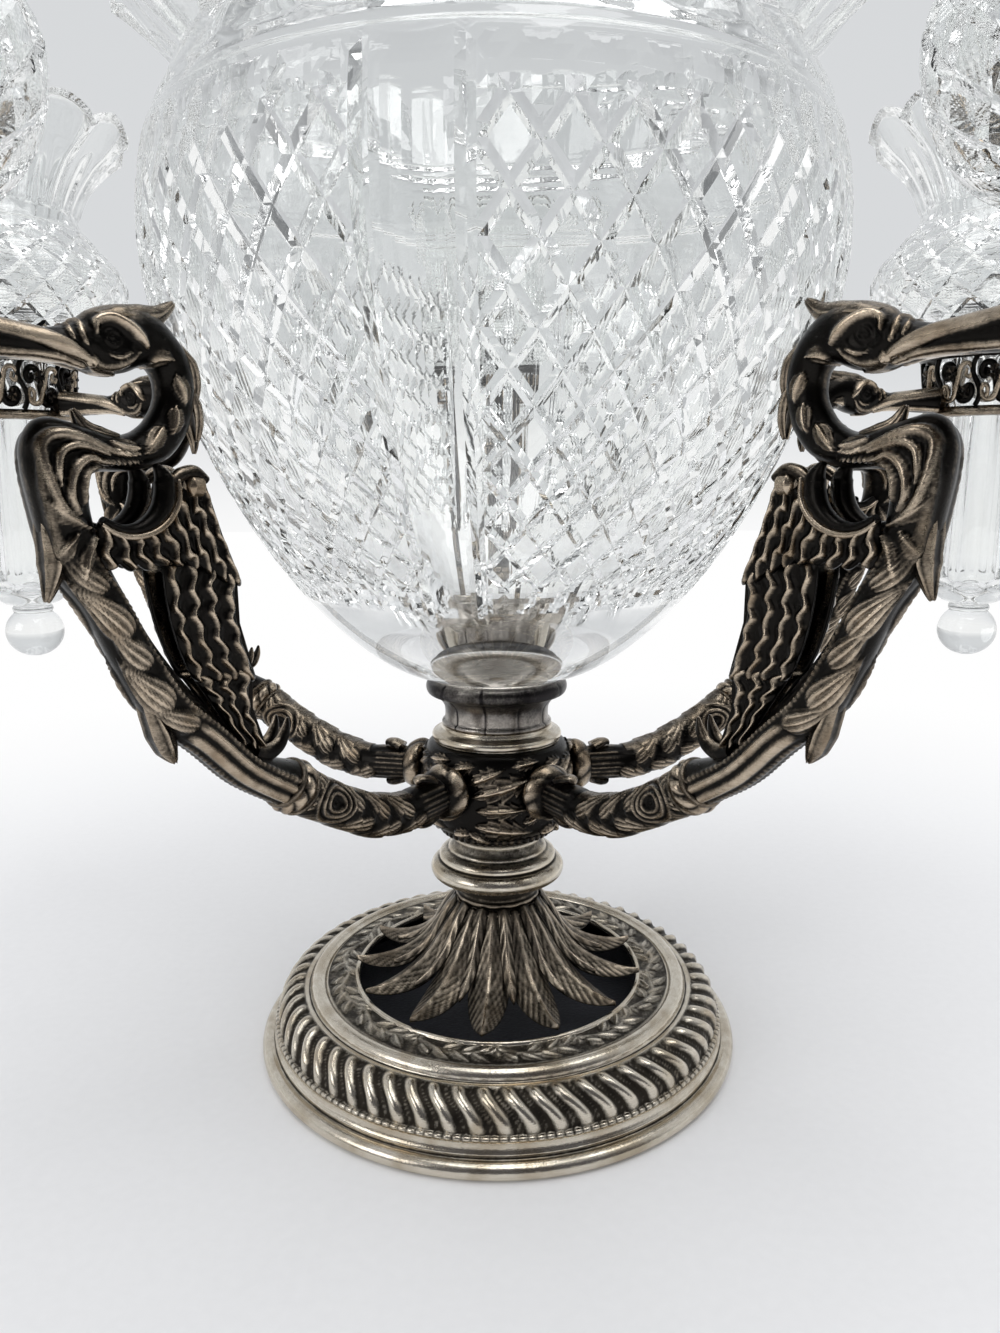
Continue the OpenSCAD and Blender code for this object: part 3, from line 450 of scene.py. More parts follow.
# %% Curves and carving
def curve(knots, count):
    """A smooth curve through knots: cubic stretches whose slope at a knot is half the step between its
    neighbours. count is a number of even steps, or an array of places among the knots."""
    k = np.asarray(knots, float)
    t = np.linspace(0, len(k) - 1, count) if np.isscalar(count) else count
    i = np.clip(t.astype(int), 0, len(k) - 2)
    f = (t - i)[:, None]
    a, b, c, d = k[np.maximum(i - 1, 0)], k[i], k[i + 1], k[np.minimum(i + 2, len(k) - 1)]
    return 0.5 * (2 * b + (c - a) * f + (2 * a - 5 * b + 4 * c - d) * f**2 + (3 * b - a - 3 * c + d) * f**3)


def arc(centre, radii, start, end, count):
    """Points on an oval: centre plus the radii times the cosine and sine of angles in degrees."""
    angle = np.radians(np.linspace(start, end, count))
    return np.stack([centre[0] + radii[0] * np.cos(angle), centre[1] + radii[1] * np.sin(angle)], 1)


def run(first, last, count):
    """Points on a straight line, without its last point."""
    return np.linspace(first, last, count + 1)[:-1]


def lengths(line):
    """The length of a flat line up to each of its points."""
    return joined([0], np.cumsum(np.hypot(*np.diff(line, axis=0).T)))


def spread(values, count):
    """Values at even places along a run, read at so many even steps."""
    values = np.atleast_1d(values)
    return np.interp(np.linspace(0, 1, count), np.linspace(0, 1, len(values)), values)


def lathe(profile, sides, turn=0):
    """A profile of radii and levels, carried round the stem's axis from a starting angle."""
    return polar(profile[:, :1], turn + turns(sides), profile[:, 1:])


def raised(points, height, ring=False):
    """A grid moved out by a height along its normals, the cross products of its row and column steps."""
    along = np.roll(points, -1, 0) - np.roll(points, 1, 0) if ring else np.gradient(points, axis=0)
    normal = np.cross(np.roll(points, -1, 1) - np.roll(points, 1, 1), along)
    outward = np.sign(((points - points.mean((0, 1))) * normal).sum())
    normal *= outward / np.maximum(np.linalg.norm(normal, axis=-1, keepdims=True), 1e-9)
    return points + normal * np.asarray(height)[..., None]


def ridge(distance, width):
    """A round ridge: 1 on its line, falling along a half circle's cosine to 0 at its width."""
    return np.cos(np.clip(distance / width, -1, 1) * np.pi / 2)


def lined(share, lines):
    """A round face across a share from -1 to 1, with raised lines along it, as a chasing tool leaves them."""
    return np.sqrt(1 - share**2) * (0.68 + 0.32 * np.cos(np.pi * lines * share))


def leaf(across, along, place, angle, length, width, lines=3, blunt=0.8, teeth=0):
    """Height of a carved leaf on a flat chart, from 0 to 1.

    The leaf starts at a place and runs at an angle for its length. Its half width is the sine of a power of
    its run, and a small power makes the start blunt. The lines on its face bend along with its edges. Teeth
    make the edge fall back in saw steps.
    """
    x, y = across - place[0], along - place[1]
    run_share = (x * np.cos(angle) + y * np.sin(angle)) / length
    side = (y * np.cos(angle) - x * np.sin(angle)) / (width / 2)
    inside = unit(run_share)
    edge = np.sin(np.pi * inside**blunt) * (1 - 0.4 * np.mod(teeth * inside, 1)) + 1e-6
    share = np.clip(side / edge, -1, 1)
    return lined(share, lines) * np.sqrt(np.sin(np.pi * inside**0.6)) * (inside == run_share)


def stroke(x, z, path, widths, lines=0):
    """Height of a carved stroke along a path, from 0 to 1.

    A place's share is its distance from the nearest point of the path over the half width there. The lines
    on its face run along the path.
    """
    count = 48
    line, width = curve(path, count), spread(widths, count)
    dx, dz = x[..., None] - line[:, 0], z[..., None] - line[:, 1]
    nearest = np.argmin(dx**2 + dz**2, axis=-1)
    dx, dz = (np.take_along_axis(d, nearest[..., None], -1)[..., 0] for d in (dx, dz))
    tangent = np.gradient(line, axis=0)[nearest]
    left = np.sign(tangent[..., 0] * dz - tangent[..., 1] * dx)
    return lined(np.clip(left * np.hypot(dx, dz) / width[nearest], -1, 1), lines)


def strokes(x, z, drawn):
    """The highest of several strokes."""
    return np.maximum.reduce([stroke(x, z, *one) for one in drawn])


print("curves and carving ready")

# %% [markdown]
# The foot is spun from sheet. From the table up it has a rolled rim, a plain band, a slope of slanted round
# ribs called gadroons, a plain ring and a flat border with engraved leaves. It could be modelled by looping a
# slanted rib round a ring. Here it is one turned grid instead, and ribs and leaves are heights on that grid,
# so that no joints show. Sixty ribs need a dozen columns or more each.

# %% Foot
FOOT_R = span("foot")[1][0]
FOOT_TOP = level("foot")[1]
RIM_BEAD = 2.5
BAND_TOP, SLOPE_TOP = 10.0, 20.0
SLOPE_OUT, SLOPE_IN = 74.5, 66.0
RING_MID, RING_R = 60.8, 2.7
OPENING_R, PLATE_R = 47.1, 72.5
GADROONS = 60
GADROON_TURN = np.radians(5.5)
GADROON_H = 1.5
BORDER_REPEATS = 13
BORDER_WAVE = 1.6
BORDER_LEAVES = ((0.02, 1), (0.12, -1), (0.24, 1), (0.36, -1), (0.46, 1), (0.56, -1), (0.84, 1))
FLOWER_AT, FLOWER_R, PETALS = 0.76, 3.3, 5
FOOT_SIDES = 720


def border_carving(radius, angle):
    """Engraved border: in each repeat a wavy stem with leaves on both sides and a flower of round petals."""
    middle = (OPENING_R + RING_MID - RING_R) / 2
    period = 2 * np.pi * middle / BORDER_REPEATS
    along = np.mod(angle * middle, period) + 0 * radius
    across = radius - middle + 0 * angle
    height = 0.6 * ridge(across - BORDER_WAVE * np.sin(2 * np.pi * along / period), 1.0)
    for start, side in BORDER_LEAVES:
        height = np.maximum(height, leaf(along, across, (start * period, 0), side * 0.65, 8.0, 4.0, 2))
    right, out = along - FLOWER_AT * period, across + BORDER_WAVE
    petals = 0.6 + 0.4 * np.cos(PETALS * np.arctan2(out, right))
    return np.maximum(height, ridge(np.hypot(right, out), FLOWER_R) * petals)


def foot_patch():
    """The foot's profile as stretches from the underside up and back inside, carved stretch by stretch."""
    rim_r, border_z = FOOT_R - RIM_BEAD, FOOT_TOP - 0.9
    stretches = {
        "under": run((PLATE_R, 0), (rim_r, 0), 3),
        "rim": arc((rim_r, RIM_BEAD), (RIM_BEAD, RIM_BEAD), -90, 95, 16),
        "groove": [(76.4, 4.7), (75.9, 4.9), (75.9, 5.6)],
        "band": arc((77.0, 8.6), (2.0, 2.9), 240, 165, 8),
        "cord": arc((74.6, 9.9), (0.7, 0.6), -40, 110, 6),
        "slope": arc((SLOPE_IN, BAND_TOP), (SLOPE_OUT - SLOPE_IN, SLOPE_TOP - BAND_TOP), 4, 90, 34),
        "step": run((SLOPE_IN - 0.4, SLOPE_TOP - 0.2), (RING_MID + RING_R, SLOPE_TOP - 0.4), 5),
        "ring": arc((RING_MID, SLOPE_TOP), (RING_R, RING_R), 0, 165, 16),
        "border": run((RING_MID - RING_R - 0.3, border_z), (OPENING_R + 1.6, border_z), 34),
        "edge": arc((OPENING_R + 0.9, border_z), (0.8, 0.8), 0, 180, 8),
        "inside": [(OPENING_R, 20.7), (64, 18.7), (70.5, 8), (70.5, 3), (PLATE_R, 3)],
    }
    profile = joined(*stretches.values())
    names = np.repeat(list(stretches), [len(s) for s in stretches.values()])
    on = {name: names == name for name in stretches}
    angle = turns(FOOT_SIDES)
    height = np.zeros((len(profile), FOOT_SIDES))
    relief = np.full(height.shape, 0.75)
    relief[on["groove"]] = np.array([0.55, 0.02, 0.45])[:, None]
    relief[on["inside"]] = 0.1
    relief[on["step"]] = np.array([0.35, 0.7, 0.7, 0.5, 0.02])[:, None]
    share = np.linspace(0, 1, on["slope"].sum())[:, None]
    slant = GADROON_TURN * (1 - share + 0.10 * np.sin(2 * np.pi * share))
    place = np.mod(GADROONS * (angle - slant) / (2 * np.pi), 1)
    wave = ridge(place - 0.5, 0.36)
    lines = ridge(place - 0.96, 0.06) + ridge(place - 0.06, 0.06)
    ends = np.sin(np.pi * (share * 0.94 + 0.03)) ** 0.35
    height[on["slope"]] = GADROON_H * (wave * ends - 0.55)
    relief[on["slope"]] = wave**1.3 * ends * 0.9 + 0.22 * lines
    cord = np.abs(np.cos(1.5 * GADROONS * angle))
    height[on["cord"]] = 0.2 * cord
    relief[on["cord"]] = 0.2 + 0.4 * cord
    carving = border_carving(profile[on["border"]][:, :1], angle)
    height[on["border"]] = 0.9 * carving - 0.2
    relief[on["border"]] = 0.16 + 0.36 * carving
    return patch(raised(lathe(profile, FOOT_SIDES), height, True), relief, ring=True)


piece("spun_foot", [foot_patch()], SILVER, "stem", ["foot"])

# %% [markdown]
# Thirteen pointed leaves fall from the stem to the border. Each is a thin casting with a raised midrib and
# slanting veins. A leaf is an oval carried down the calyx's curve: wide and thin, with its width following a
# leaf's outline. Narrow folded leaves fill the gaps near the top, where the broad ones grow together.

# %% Leaf calyx
ROD_R = 3.05
CALYX_TOP = level("leaf_calyx")[1]
CALYX_TOP_R, CALYX_FOOT_R = 14.5, 44.6
CALYX_DROP = 19.4
CALYX_CAP = 4.0
CALYX_SHOULDER = 4.0
CALYX_EASE = 1.7
LEAVES = 13
LEAF_TURN = np.radians(-95)
LEAF_REACH = span("leaf_calyx")[1][0]
LEAF_FREE_R = 24.0
LEAF_ROWS, LEAF_COLUMNS = 64, 40


def calyx_line(count, reach):
    """The calyx's curve as radii and levels: the radius grows with a power of the run, the fall eases out."""
    t = np.linspace(0, 1, count)
    radius = CALYX_TOP_R + (reach - CALYX_TOP_R) * t**1.5
    fall = unit((radius - CALYX_TOP_R) / (CALYX_FOOT_R - CALYX_TOP_R)) ** (1 / CALYX_EASE)
    z = CALYX_TOP - CALYX_CAP * fall - CALYX_DROP * (1 - (1 - fall) ** CALYX_EASE)
    return np.stack([radius + CALYX_SHOULDER * np.sin(np.pi * t**0.55) ** 2 * (1 - t), z])


def leaf_blade(reach, broad, lift, veins):
    """One leaf along +X: columns run once round its thin section, over the face and back under it.

    Its half width falls to a point, its midrib stands up and its veins leave the midrib at a sharp angle. The
    face is folded down on both sides of the midrib.
    """
    line = calyx_line(LEAF_ROWS, reach)
    run_mm = np.cumsum(np.hypot(*np.gradient(line, axis=1)))[:, None]
    radius, z = line[..., None]
    share = unit((radius - LEAF_FREE_R) / (reach - LEAF_FREE_R))
    taper = np.clip(1 - share**2.2, 0.0006, 1) ** 0.8
    angle = turns(LEAF_COLUMNS)
    side, face = np.cos(angle), np.sin(angle)
    across = side * np.minimum(np.pi * radius / LEAVES * 0.98, broad * taper)
    grown = unit(run_mm / 6)
    midrib = np.exp(-((across / 0.6) ** 2))
    vein = (0.5 + 0.5 * np.cos(2 * np.pi * (run_mm - 2.6 * np.abs(across)) / veins)) * (1 - midrib)
    upper = unit(face) ** 0.5
    height = 0.35 * face + upper * grown * (midrib + 0.5 * vein)
    fold = 0.16 * np.abs(across) ** 1.5 * grown
    relief = upper * (0.2 + 0.62 * midrib + 0.55 * vein * np.abs(side) ** 0.5) * (0.2 + 0.8 * grown)
    return patch(polar(radius, across / radius, z + lift + height - fold), relief)


def calyx_patches():
    """Broad leaves with narrow ones between them, and the turned cap on which they grow."""
    step = 2 * np.pi / LEAVES
    broad, narrow = leaf_blade(LEAF_REACH, 6.8, 0.3, 4.6), leaf_blade(36.0, 2.0, 1.2, 6.0)
    shapes = []
    for k in range(LEAVES):
        shapes += [turned(broad, LEAF_TURN + k * step), turned(narrow, LEAF_TURN + (k + 0.5) * step)]
    low = CALYX_TOP - CALYX_CAP
    cap = np.array([(ROD_R, CALYX_TOP), (CALYX_TOP_R, CALYX_TOP), (CALYX_TOP_R + 0.9, CALYX_TOP - 1),
                    (CALYX_TOP_R, CALYX_TOP - 2.5), (12.9, low), (ROD_R, low)])
    return shapes + [patch(lathe(cap, 96), ring=True)]


piece("leaf_calyx_casting", calyx_patches(), ANTIQUE, "stem", ["leaf_calyx"])

# %% [markdown]
# Above the leaves come the plain turned parts of the stem: a dark collar, a bright knop with a fat bead and a
# neck, the ring on the hub and the cup that holds the bowl. They are profiles carried round the axis. The cup
# is darker towards its rim and shows the seams of its panels as fine dark lines.

# %% Turned stem
STEM_SIDES = 192
CUP_PANELS = 10
CUP_BORE_R, CUP_EDGE_Z = 15.5, 124.0


def turned_piece(name, node, stretches, material, relief=0.7, carving=None):
    """A turned part: its outline closed along the bore, with an optional carving of heights and reliefs.

    Its relief falls where the radius is smaller than the mean radius a millimetre before and after, in the
    grooves.
    """
    bottom, top = level(node)
    profile = joined([(ROD_R, bottom)], *stretches, [(ROD_R, top)])
    points = lathe(profile, STEM_SIDES)
    if carving is None:
        length, radius = lengths(profile), profile[:, 0]
        beside = sum(np.interp(length + step, length, radius) for step in (-1, 1)) / 2
        shade = unit(relief + 0.9 * (radius - beside))[:, None]
    else:
        height, shade = carving(profile[:, :1], profile[:, 1:], turns(STEM_SIDES))
        points = raised(points, height, True)
    piece(name, [patch(points, shade, ring=True)], material, "stem", [node])


def cup_panels(radius, z, angle):
    """Panels with a fine sunk seam between each two. The rim is nearly black, waist and inside are bright."""
    seam = ridge(np.mod(angle * CUP_PANELS / (2 * np.pi) + 0.3, 1) - 0.5, 0.03)
    outside = (radius > CUP_BORE_R) * unit(CUP_EDGE_Z - z)
    tone = np.interp(z, (108, 112, 115, 118, 122, 124), (0.66, 0.56, 0.36, 0.24, 0.22, 0.5))
    tone = np.where(outside > 0, tone, 1.2) + 0.1 * np.sin(3 * angle + 1)
    return -0.25 * seam * outside, unit(tone - 0.6 * seam * outside)


low, top = level("stem_collar")
turned_piece("turned_collar", "stem_collar", [
    run((13.6, low), (13.6, low + 0.6), 2), arc((13.2, low + 1.6), (0.8, 1.0), -90, 90, 8),
    arc((15.0, top - 3.0), (2.0, 2.8), 220, 130, 10), [(12.9, top)]], ANTIQUE, 0.16)

low, top = level("knop")
turned_piece("turned_knop", "knop", [
    run((16.0, low), (18.5, low), 3), [(18.9, low + 0.3)], arc((19.0, low + 3.3), (3.3, 3.0), -85, 80, 18),
    [(19.3, low + 6.4), (19.0, low + 6.6)],
    (0, low) + curve([(19.5, 6.9), (19.3, 8.2), (18.0, 9.2), (16.6, 9.8), (16.4, 10.4)], 14),
    arc((17.2, low + 12.8), (2.7, 2.4), 235, 150, 8), [(14.6, top - 1.6), (15.2, top - 1.2), (15.2, top)]],
    SILVER, 0.42)

low, top = level("hub_ring")
turned_piece("bright_ring", "hub_ring", [
    run((20.0, low), (21.0, low), 3), arc((20.2, low + 1.5), (1.0, 1.3), -80, 90, 10),
    arc((20.4, low + 4.6), (2.4, 1.6), 230, 175, 6), [(17.6, top)]], SILVER)

low, top = level("bowl_socket")
turned_piece("bowl_cup", "bowl_socket", [
    run((16.0, low), (17.4, low), 2), arc((17.2, low + 0.8), (0.7, 0.7), -60, 60, 5),
    (0, low) + curve([(16.9, 1.8), (16.8, 4.5), (17.3, 6.8), (19.2, 9.2), (21.2, 10.2)], 24),
    arc((21.4, low + 12.6), (1.5, 2.3), -75, 75, 14), [(21.6, top - 0.6), (21.4, top), (20.3, top)],
    [(14.4, low + 9.0), (14.4, low + 4.0)]], CUP_SILVER, carving=cup_panels)

# %% [markdown]
# The hub is a cast barrel, black in the ground, with sprays of leaves whose edges are rubbed bright. Five
# bosses stand out from it, one for each branch, and each is wrapped in curling leaves. The leaves are carved
# on the unrolled barrel: one spray is drawn between two bosses and repeated five times. A leaf is given by
# its start, its lean, its length and its width.

# %% Hub
HUB_LOW, HUB_TOP = level("hub")
HUB_R = 24.1
ARM_Z = HUB_LOW + 19.0
BOSS_X, BOSS_ROOT_X = 31.5, 24.5
HUB_SIDES = 500
HUB_BEADS = 48
HUB_LEAVES = ((-8.1, 17.6, 0.27, 23.0, 9.6), (-9.0, 21.6, 0.42, 13.5, 6.8), (-6.5, 13.2, 0.02, 18.0, 6.8),
              (-7.0, 8.4, -0.16, 20.0, 9.0), (-15.0, 25.4, 0.25, 9.5, 5.4), (-9.0, 6.2, -0.6, 8.5, 5.0),
              (5.0, 27.4, 0.1, 10.0, 4.6), (-15.0, 4.6, 0.1, 8.0, 5.0), (8.5, 9.0, 0.3, 7.0, 4.4))


def hub_carving(z, angle):
    """Leaf sprays between the bosses: long toothed leaves that lean to one side."""
    along = np.mod(angle - ARM_ANGLES[0], 2 * np.pi / ARMS) * HUB_R - np.pi * HUB_R / ARMS + 0 * z
    up = z - HUB_LOW + 0 * angle
    return np.maximum.reduce([leaf(along, up, (x, y), lean, length, width, 2, 0.9, 5)
                              for x, y, lean, length, width in HUB_LEAVES])


def hub_patches():
    """The barrel with its carving, a row of beads under it and a leaf-wrapped boss for each branch."""
    profile = joined(
        [(ROD_R, HUB_LOW)], run((15.0, HUB_LOW), (17.6, HUB_LOW), 3),
        arc((17.8, HUB_LOW + 1.1), (1.1, 1.1), -80, 60, 8),
        arc((18.1, HUB_LOW + 9.0), (6.0, 7.4), -80, 0, 40),
        run((HUB_R, HUB_LOW + 9.2), (HUB_R, HUB_TOP - 6), 50),
        arc((HUB_R - 2.5, HUB_TOP - 6.0), (2.5, 5.6), 2, 80, 24), [(21.4, HUB_TOP), (ROD_R, HUB_TOP)])
    radius, z = profile[:, :1], profile[:, 1:]
    angle = turns(HUB_SIDES)
    wall = (radius > 19.0) * 1.0
    carving = hub_carving(z, angle) * wall
    beads = np.abs(np.cos(HUB_BEADS / 2 * angle)) * (np.abs(z - HUB_LOW - 1.2) < 1.2) * (radius > 17)
    barrel = raised(lathe(profile, HUB_SIDES), 1.7 * carving - 0.4 * wall + 0.4 * beads, True)
    x = joined(np.linspace(21.0, BOSS_X - 0.6, 26), [BOSS_X - 0.1, BOSS_X - 0.05])[:, None]
    share = unit((x - BOSS_ROOT_X) / (BOSS_X - BOSS_ROOT_X))
    around = turns(96)
    lobes = np.abs(np.cos(3 * around + 1.8 * share)) ** 0.45
    bulge = 6.8 + 1.9 * np.sin(np.pi * share**0.7) + 0.8 * (lobes - 0.6) * np.sin(np.pi * share) ** 0.5
    radius = np.where(x < BOSS_X - 0.1, bulge, 5.6)
    boss = np.stack([x + 0 * radius, radius * np.cos(around), ARM_Z + radius * np.sin(around)], -1)
    boss = patch(boss, 0.05 + 0.75 * lobes * np.sin(np.pi * share) ** 0.6)
    return [patch(barrel, 0.03 + carving + 0.3 * beads, ring=True)] + [turned(boss, a) for a in ARM_ANGLES]


piece("hub_casting", hub_patches(), DARK_SILVER, "stem", ["hub"])

# %% [markdown]
# The bowl is blown thick and then cut on a wheel. Two sets of slanting grooves cross in a net, so that
# flat-topped diamonds stand between them. Four upright panels of hollow flutes divide the net, olive-shaped
# cuts hang below it, round cuts stand above it, and the neck is fluted. A net could be carved with Boolean
# cuts, but that would leave ragged facets. Here the grid is laid so that its points fall on every groove and
# every edge, and its squares are split along the grooves, so each facet is truly flat.

# %% Cut-glass patterns
STEPS = 6


def net(u, v, ranks):
    """Depth of a net of grooves, from 0 on a diamond's flat top to 1 in a groove, and the squares' splits.

    u counts diamonds round the glass and v counts them upwards. Grooves lie where u + v or u - v is a whole
    number. Each diamond has a rank, the difference of those two whole numbers, and the net ends in a zigzag
    below rank 0 and above the last rank. A square is split along the groove or the diamond's edge that
    crosses it.
    """
    rising, falling = np.round((u + v) * STEPS).astype(int), np.round((u - v) * STEPS).astype(int)
    rank = rising // STEPS - falling // STEPS
    a, b = rising % STEPS, falling % STEPS
    inside = np.minimum(np.minimum(a, STEPS - a), np.minimum(b, STEPS - b))
    above, below = np.minimum(a, STEPS - b), np.minimum(STEPS - a, b)
    far = np.where(rank == ranks + 1, above, np.where(rank == -1, below, STEPS))
    distance = np.where((rank >= 0) & (rank <= ranks), inside, far)
    on_rising, on_falling = (rising[:-1] + 1) % STEPS, falling[:-1] % STEPS
    rising_edge, falling_edge = (np.minimum(on, STEPS - on) <= 1 for on in (on_rising, on_falling))
    return unit(1 - distance), (rising_edge & ~falling_edge) | (on_rising == 0)


def off_centre(x, step):
    """Signed distance to the nearest multiple of a step."""
    return np.mod(x + step / 2, step) - step / 2


def hollow(x, half):
    """Depth of a hollow flute across its width: a parabola, 1 in the middle and 0 at its edges."""
    return unit(1 - (x / half) ** 2)


def flutes(u, wide):
    """Depth of flutes side by side, each with its edges on multiples of a width."""
    return hollow(off_centre(u - wide / 2, wide), wide / 2)


def round_cut(x, y, half_x, half_y):
    """Depth of an oval cut: 1 in the middle, falling with the square of the distance to 0 at its edge."""
    return unit(1 - (x / half_x) ** 2 - (y / half_y) ** 2)


def stretch(start, end, out, up):
    """Radii and levels from one place to another, at shares of the way outwards and upwards."""
    return np.stack([start[0] + (end[0] - start[0]) * out, start[1] + (end[1] - start[1]) * up], 1)


def measured(outline, low, high, tall):
    """The outline's own scale: steps of length over radius, added up, and set to run from -0.5 to tall - 0.5
    between two levels. Diamonds that are equally tall on this scale keep their shape as the glass widens."""
    radius, z = outline.T
    step = np.hypot(np.diff(radius), np.diff(z)) / (0.5 * (radius[1:] + radius[:-1]))
    scale = joined([0], np.cumsum(step))
    start, end = np.interp([low, high], z, scale)
    return (scale - start) / (end - start) * tall - 0.5


def glass_patch(below, outline, scale, rows, inner, columns, turn, cuts, lobes, rim):
    """A cut vessel as one closed skin: a plain grid below, rows up its outside, and down its smooth hollow.

    rows holds the places on the scale before the net, on it and after it. cuts(u, v, z) gives the depth in
    millimetres and the split of the squares. The rim is cut into round lobes: its level falls by notch times
    (1 minus a circle's height over the lobe), less and less further down.
    """
    places = joined(*rows)
    z, radius = np.interp(places, scale, outline[:, 1]), np.interp(places, scale, outline[:, 0])
    u = np.arange(columns * STEPS) / STEPS
    depth, split = cuts(u, places[:, None], z[:, None])
    notch, low, high = rim
    lobe = np.mod(u * lobes / columns, 1) * 2 - 1
    drop = notch * (1 - np.sqrt(1 - lobe**2 * 0.98))
    skins = [below]
    for r, level_z, cut in ((radius, z, depth), (*inner.T, 0)):
        fall = unit((level_z - low) / (high - low))[:, None] ** 2
        skins.append(polar(r[:, None] - cut, turn + 2 * np.pi * u / columns, level_z[:, None] - drop * fall))
    points = joined(*skins)
    start, first = len(below), len(below) + len(rows[0])
    flat = np.zeros((len(points) - 1, 1), bool)
    flat[first:first + len(rows[1]) - 1] = True
    odd = np.zeros((len(points) - 1, len(u)), bool)
    odd[start:start + len(places) - 1] = split
    return patch(points, cut=flat, split=odd)


print("glass cuts: net, flutes, round cut")

# %% [markdown]
# The bowl's outline is a belly that swells steeply, a shoulder that draws in and a mouth that flares. The net
# has 48 diamonds round and 7 rows, and the panels stand a quarter turn apart.

# %% Bowl
BOWL_LOW, BOWL_TOP = level("bowl")
BOWL_FOOT, BELLY_Z, NECK_Z = 124.8, 248.4, 298.2
BOWL_FOOT_R, BELLY_R, NECK_R, BOWL_RIM_R = 21.9, 101.2, 85.7, 118.0
BOWL_WALL = 7.0
BOWL_FLOOR = 12.0
BOWL_LOBES, BOWL_FLUTES = 12, 24
BOWL_NOTCH = 14.0
NET_LOW, NET_HIGH = 160.0, 262.4
NET_COLUMNS, NET_ROWS = 48, 7
PANELS = 4
PANEL_TURN = np.radians(-98.7)
GROOVE_DEPTH = 1.7
STEP_LOW, STEP_HIGH = 276.5, 283.0
FLUTES_LOW = 282.0
FINE_TOP, MOUTH_LOW = 290.0, 292.0


def bowl_outline(foot_r, foot_z, thinner, power, count):
    """Radii and levels of the bowl's outside, or of its hollow when a wall is taken off.

    The belly's share outwards is the root of 1 minus a power of what is left to rise, so it leaves the foot
    nearly level and ends upright.
    """
    belly, neck = (BELLY_R - thinner, BELLY_Z), (NECK_R - thinner, NECK_Z)
    t = np.linspace(0, 1, count)
    rise = t**1.6
    swell = (1 - (1 - rise) ** power) ** (1 / power)
    t = t[1:]
    return joined(stretch((foot_r, foot_z), belly, swell, rise), stretch(belly, neck, t**2.6, t),
                  stretch(neck, (BOWL_RIM_R - thinner, BOWL_TOP), t**0.8, t))


def bowl_cuts(u, v, z):
    """The net, the panels' flutes, olives below, round cuts above, a step and the neck's flutes."""
    depth, split = net(u, v, 2 * NET_ROWS - 2)
    olive = 1.3 * round_cut(off_centre(u, 1), v + 0.82, 0.46, 0.5)
    coin = 1.2 * round_cut(off_centre(u, 1), v - 6.78, 0.47, 0.36)
    cut = np.maximum(GROOVE_DEPTH * depth, np.maximum(olive, coin))
    side = np.abs(off_centre(u, NET_COLUMNS / PANELS))
    upright = unit(np.minimum((v + 1.6) / 0.5, (7.35 - v) / 0.5))
    groove = 2.2 * unit(1 - np.abs(side - 5 / STEPS) * STEPS)
    cut = np.where(side < 1.01, np.maximum(1.5 * hollow(side, 4 / STEPS), groove) * upright, cut)
    step = 1.6 * unit((z - STEP_LOW) / 0.8) * unit((STEP_HIGH - z) / 3.0)
    neck = unit((z - FLUTES_LOW) / 6.0) ** 0.5
    return cut + step + 2.0 * flutes(u, NET_COLUMNS / BOWL_FLUTES) * neck, split


def bowl_patch():
    """The cut bowl on its plain peg."""
    outline = bowl_outline(BOWL_FOOT_R, BOWL_FOOT, 0, 1.55, 1500)
    inner = bowl_outline(0.6, BOWL_FOOT + BOWL_FLOOR, BOWL_WALL, 1.7, 26)[::-1]
    scale = measured(outline, NET_LOW, NET_HIGH, NET_ROWS)
    grid = np.arange(-1.5 * STEPS, NET_ROWS * STEPS + 2) / STEPS
    grid_top = np.interp(grid[-1], scale, outline[:, 1])
    levels = joined(np.linspace(grid_top + 0.4, FINE_TOP, 26), np.linspace(MOUTH_LOW, BOWL_TOP, 26))
    rows = (np.linspace(scale[0], -1.5, 23)[:-1], grid, np.interp(levels, outline[:, 1], scale))
    peg = joined(run((0.6, BOWL_LOW), (13.4, BOWL_LOW), 5), [(13.9, BOWL_LOW + 0.5), (14.0, BOWL_LOW + 4.6)],
                 run((14.6, BOWL_LOW + 5.2), (BOWL_FOOT_R - 0.5, BOWL_FOOT), 4))
    return glass_patch(lathe(peg, NET_COLUMNS * STEPS, PANEL_TURN), outline, scale, rows, inner, NET_COLUMNS,
                       PANEL_TURN, bowl_cuts, BOWL_LOBES, (BOWL_NOTCH, NECK_Z, BOWL_TOP))


piece("cut_bowl", [bowl_patch()], GLASS, "bowl_glass", ["bowl"])

# %% [markdown]
# Each vase is one piece of glass: a solid ball, a hollow tube with flat panels, a cut belly that rests on the
# gallery and a fluted mouth. It is made like the bowl with a finer net, once along +X, and turned to its
# branch.

# %% Vases
VASE_TOP = level("vase_1")[1]
GALLERY_X = 187.7
SEAT_R, SEAT_Z = 25.0, 231.0
VASE_BELLY_R, VASE_BELLY_Z = 43.0, SEAT_Z + 23.5
VASE_NECK_R, VASE_NECK_Z = 28.0, VASE_BELLY_Z + 25.0
VASE_RIM_R = 47.0
VASE_WALL = 4.5
TUBE_R, TUBE_END, TUBE_TOP = 13.0, 140.0, 212.0
TUBE_PANELS = 8
THROAT_R, COLLAR_R = 18.6, 6.2
BALL_R, BALL_Z, BALL_SQUASH = 10.4, TUBE_END - 10.3, 0.92
VASE_COLUMNS, VASE_NET_ROWS = 20, 4
VASE_NET_LOW, VASE_NET_HIGH = SEAT_Z + 1.6, VASE_NECK_Z - 8.4
VASE_LOBES, VASE_FLUTES = 12, 24
VASE_NOTCH = 8.0


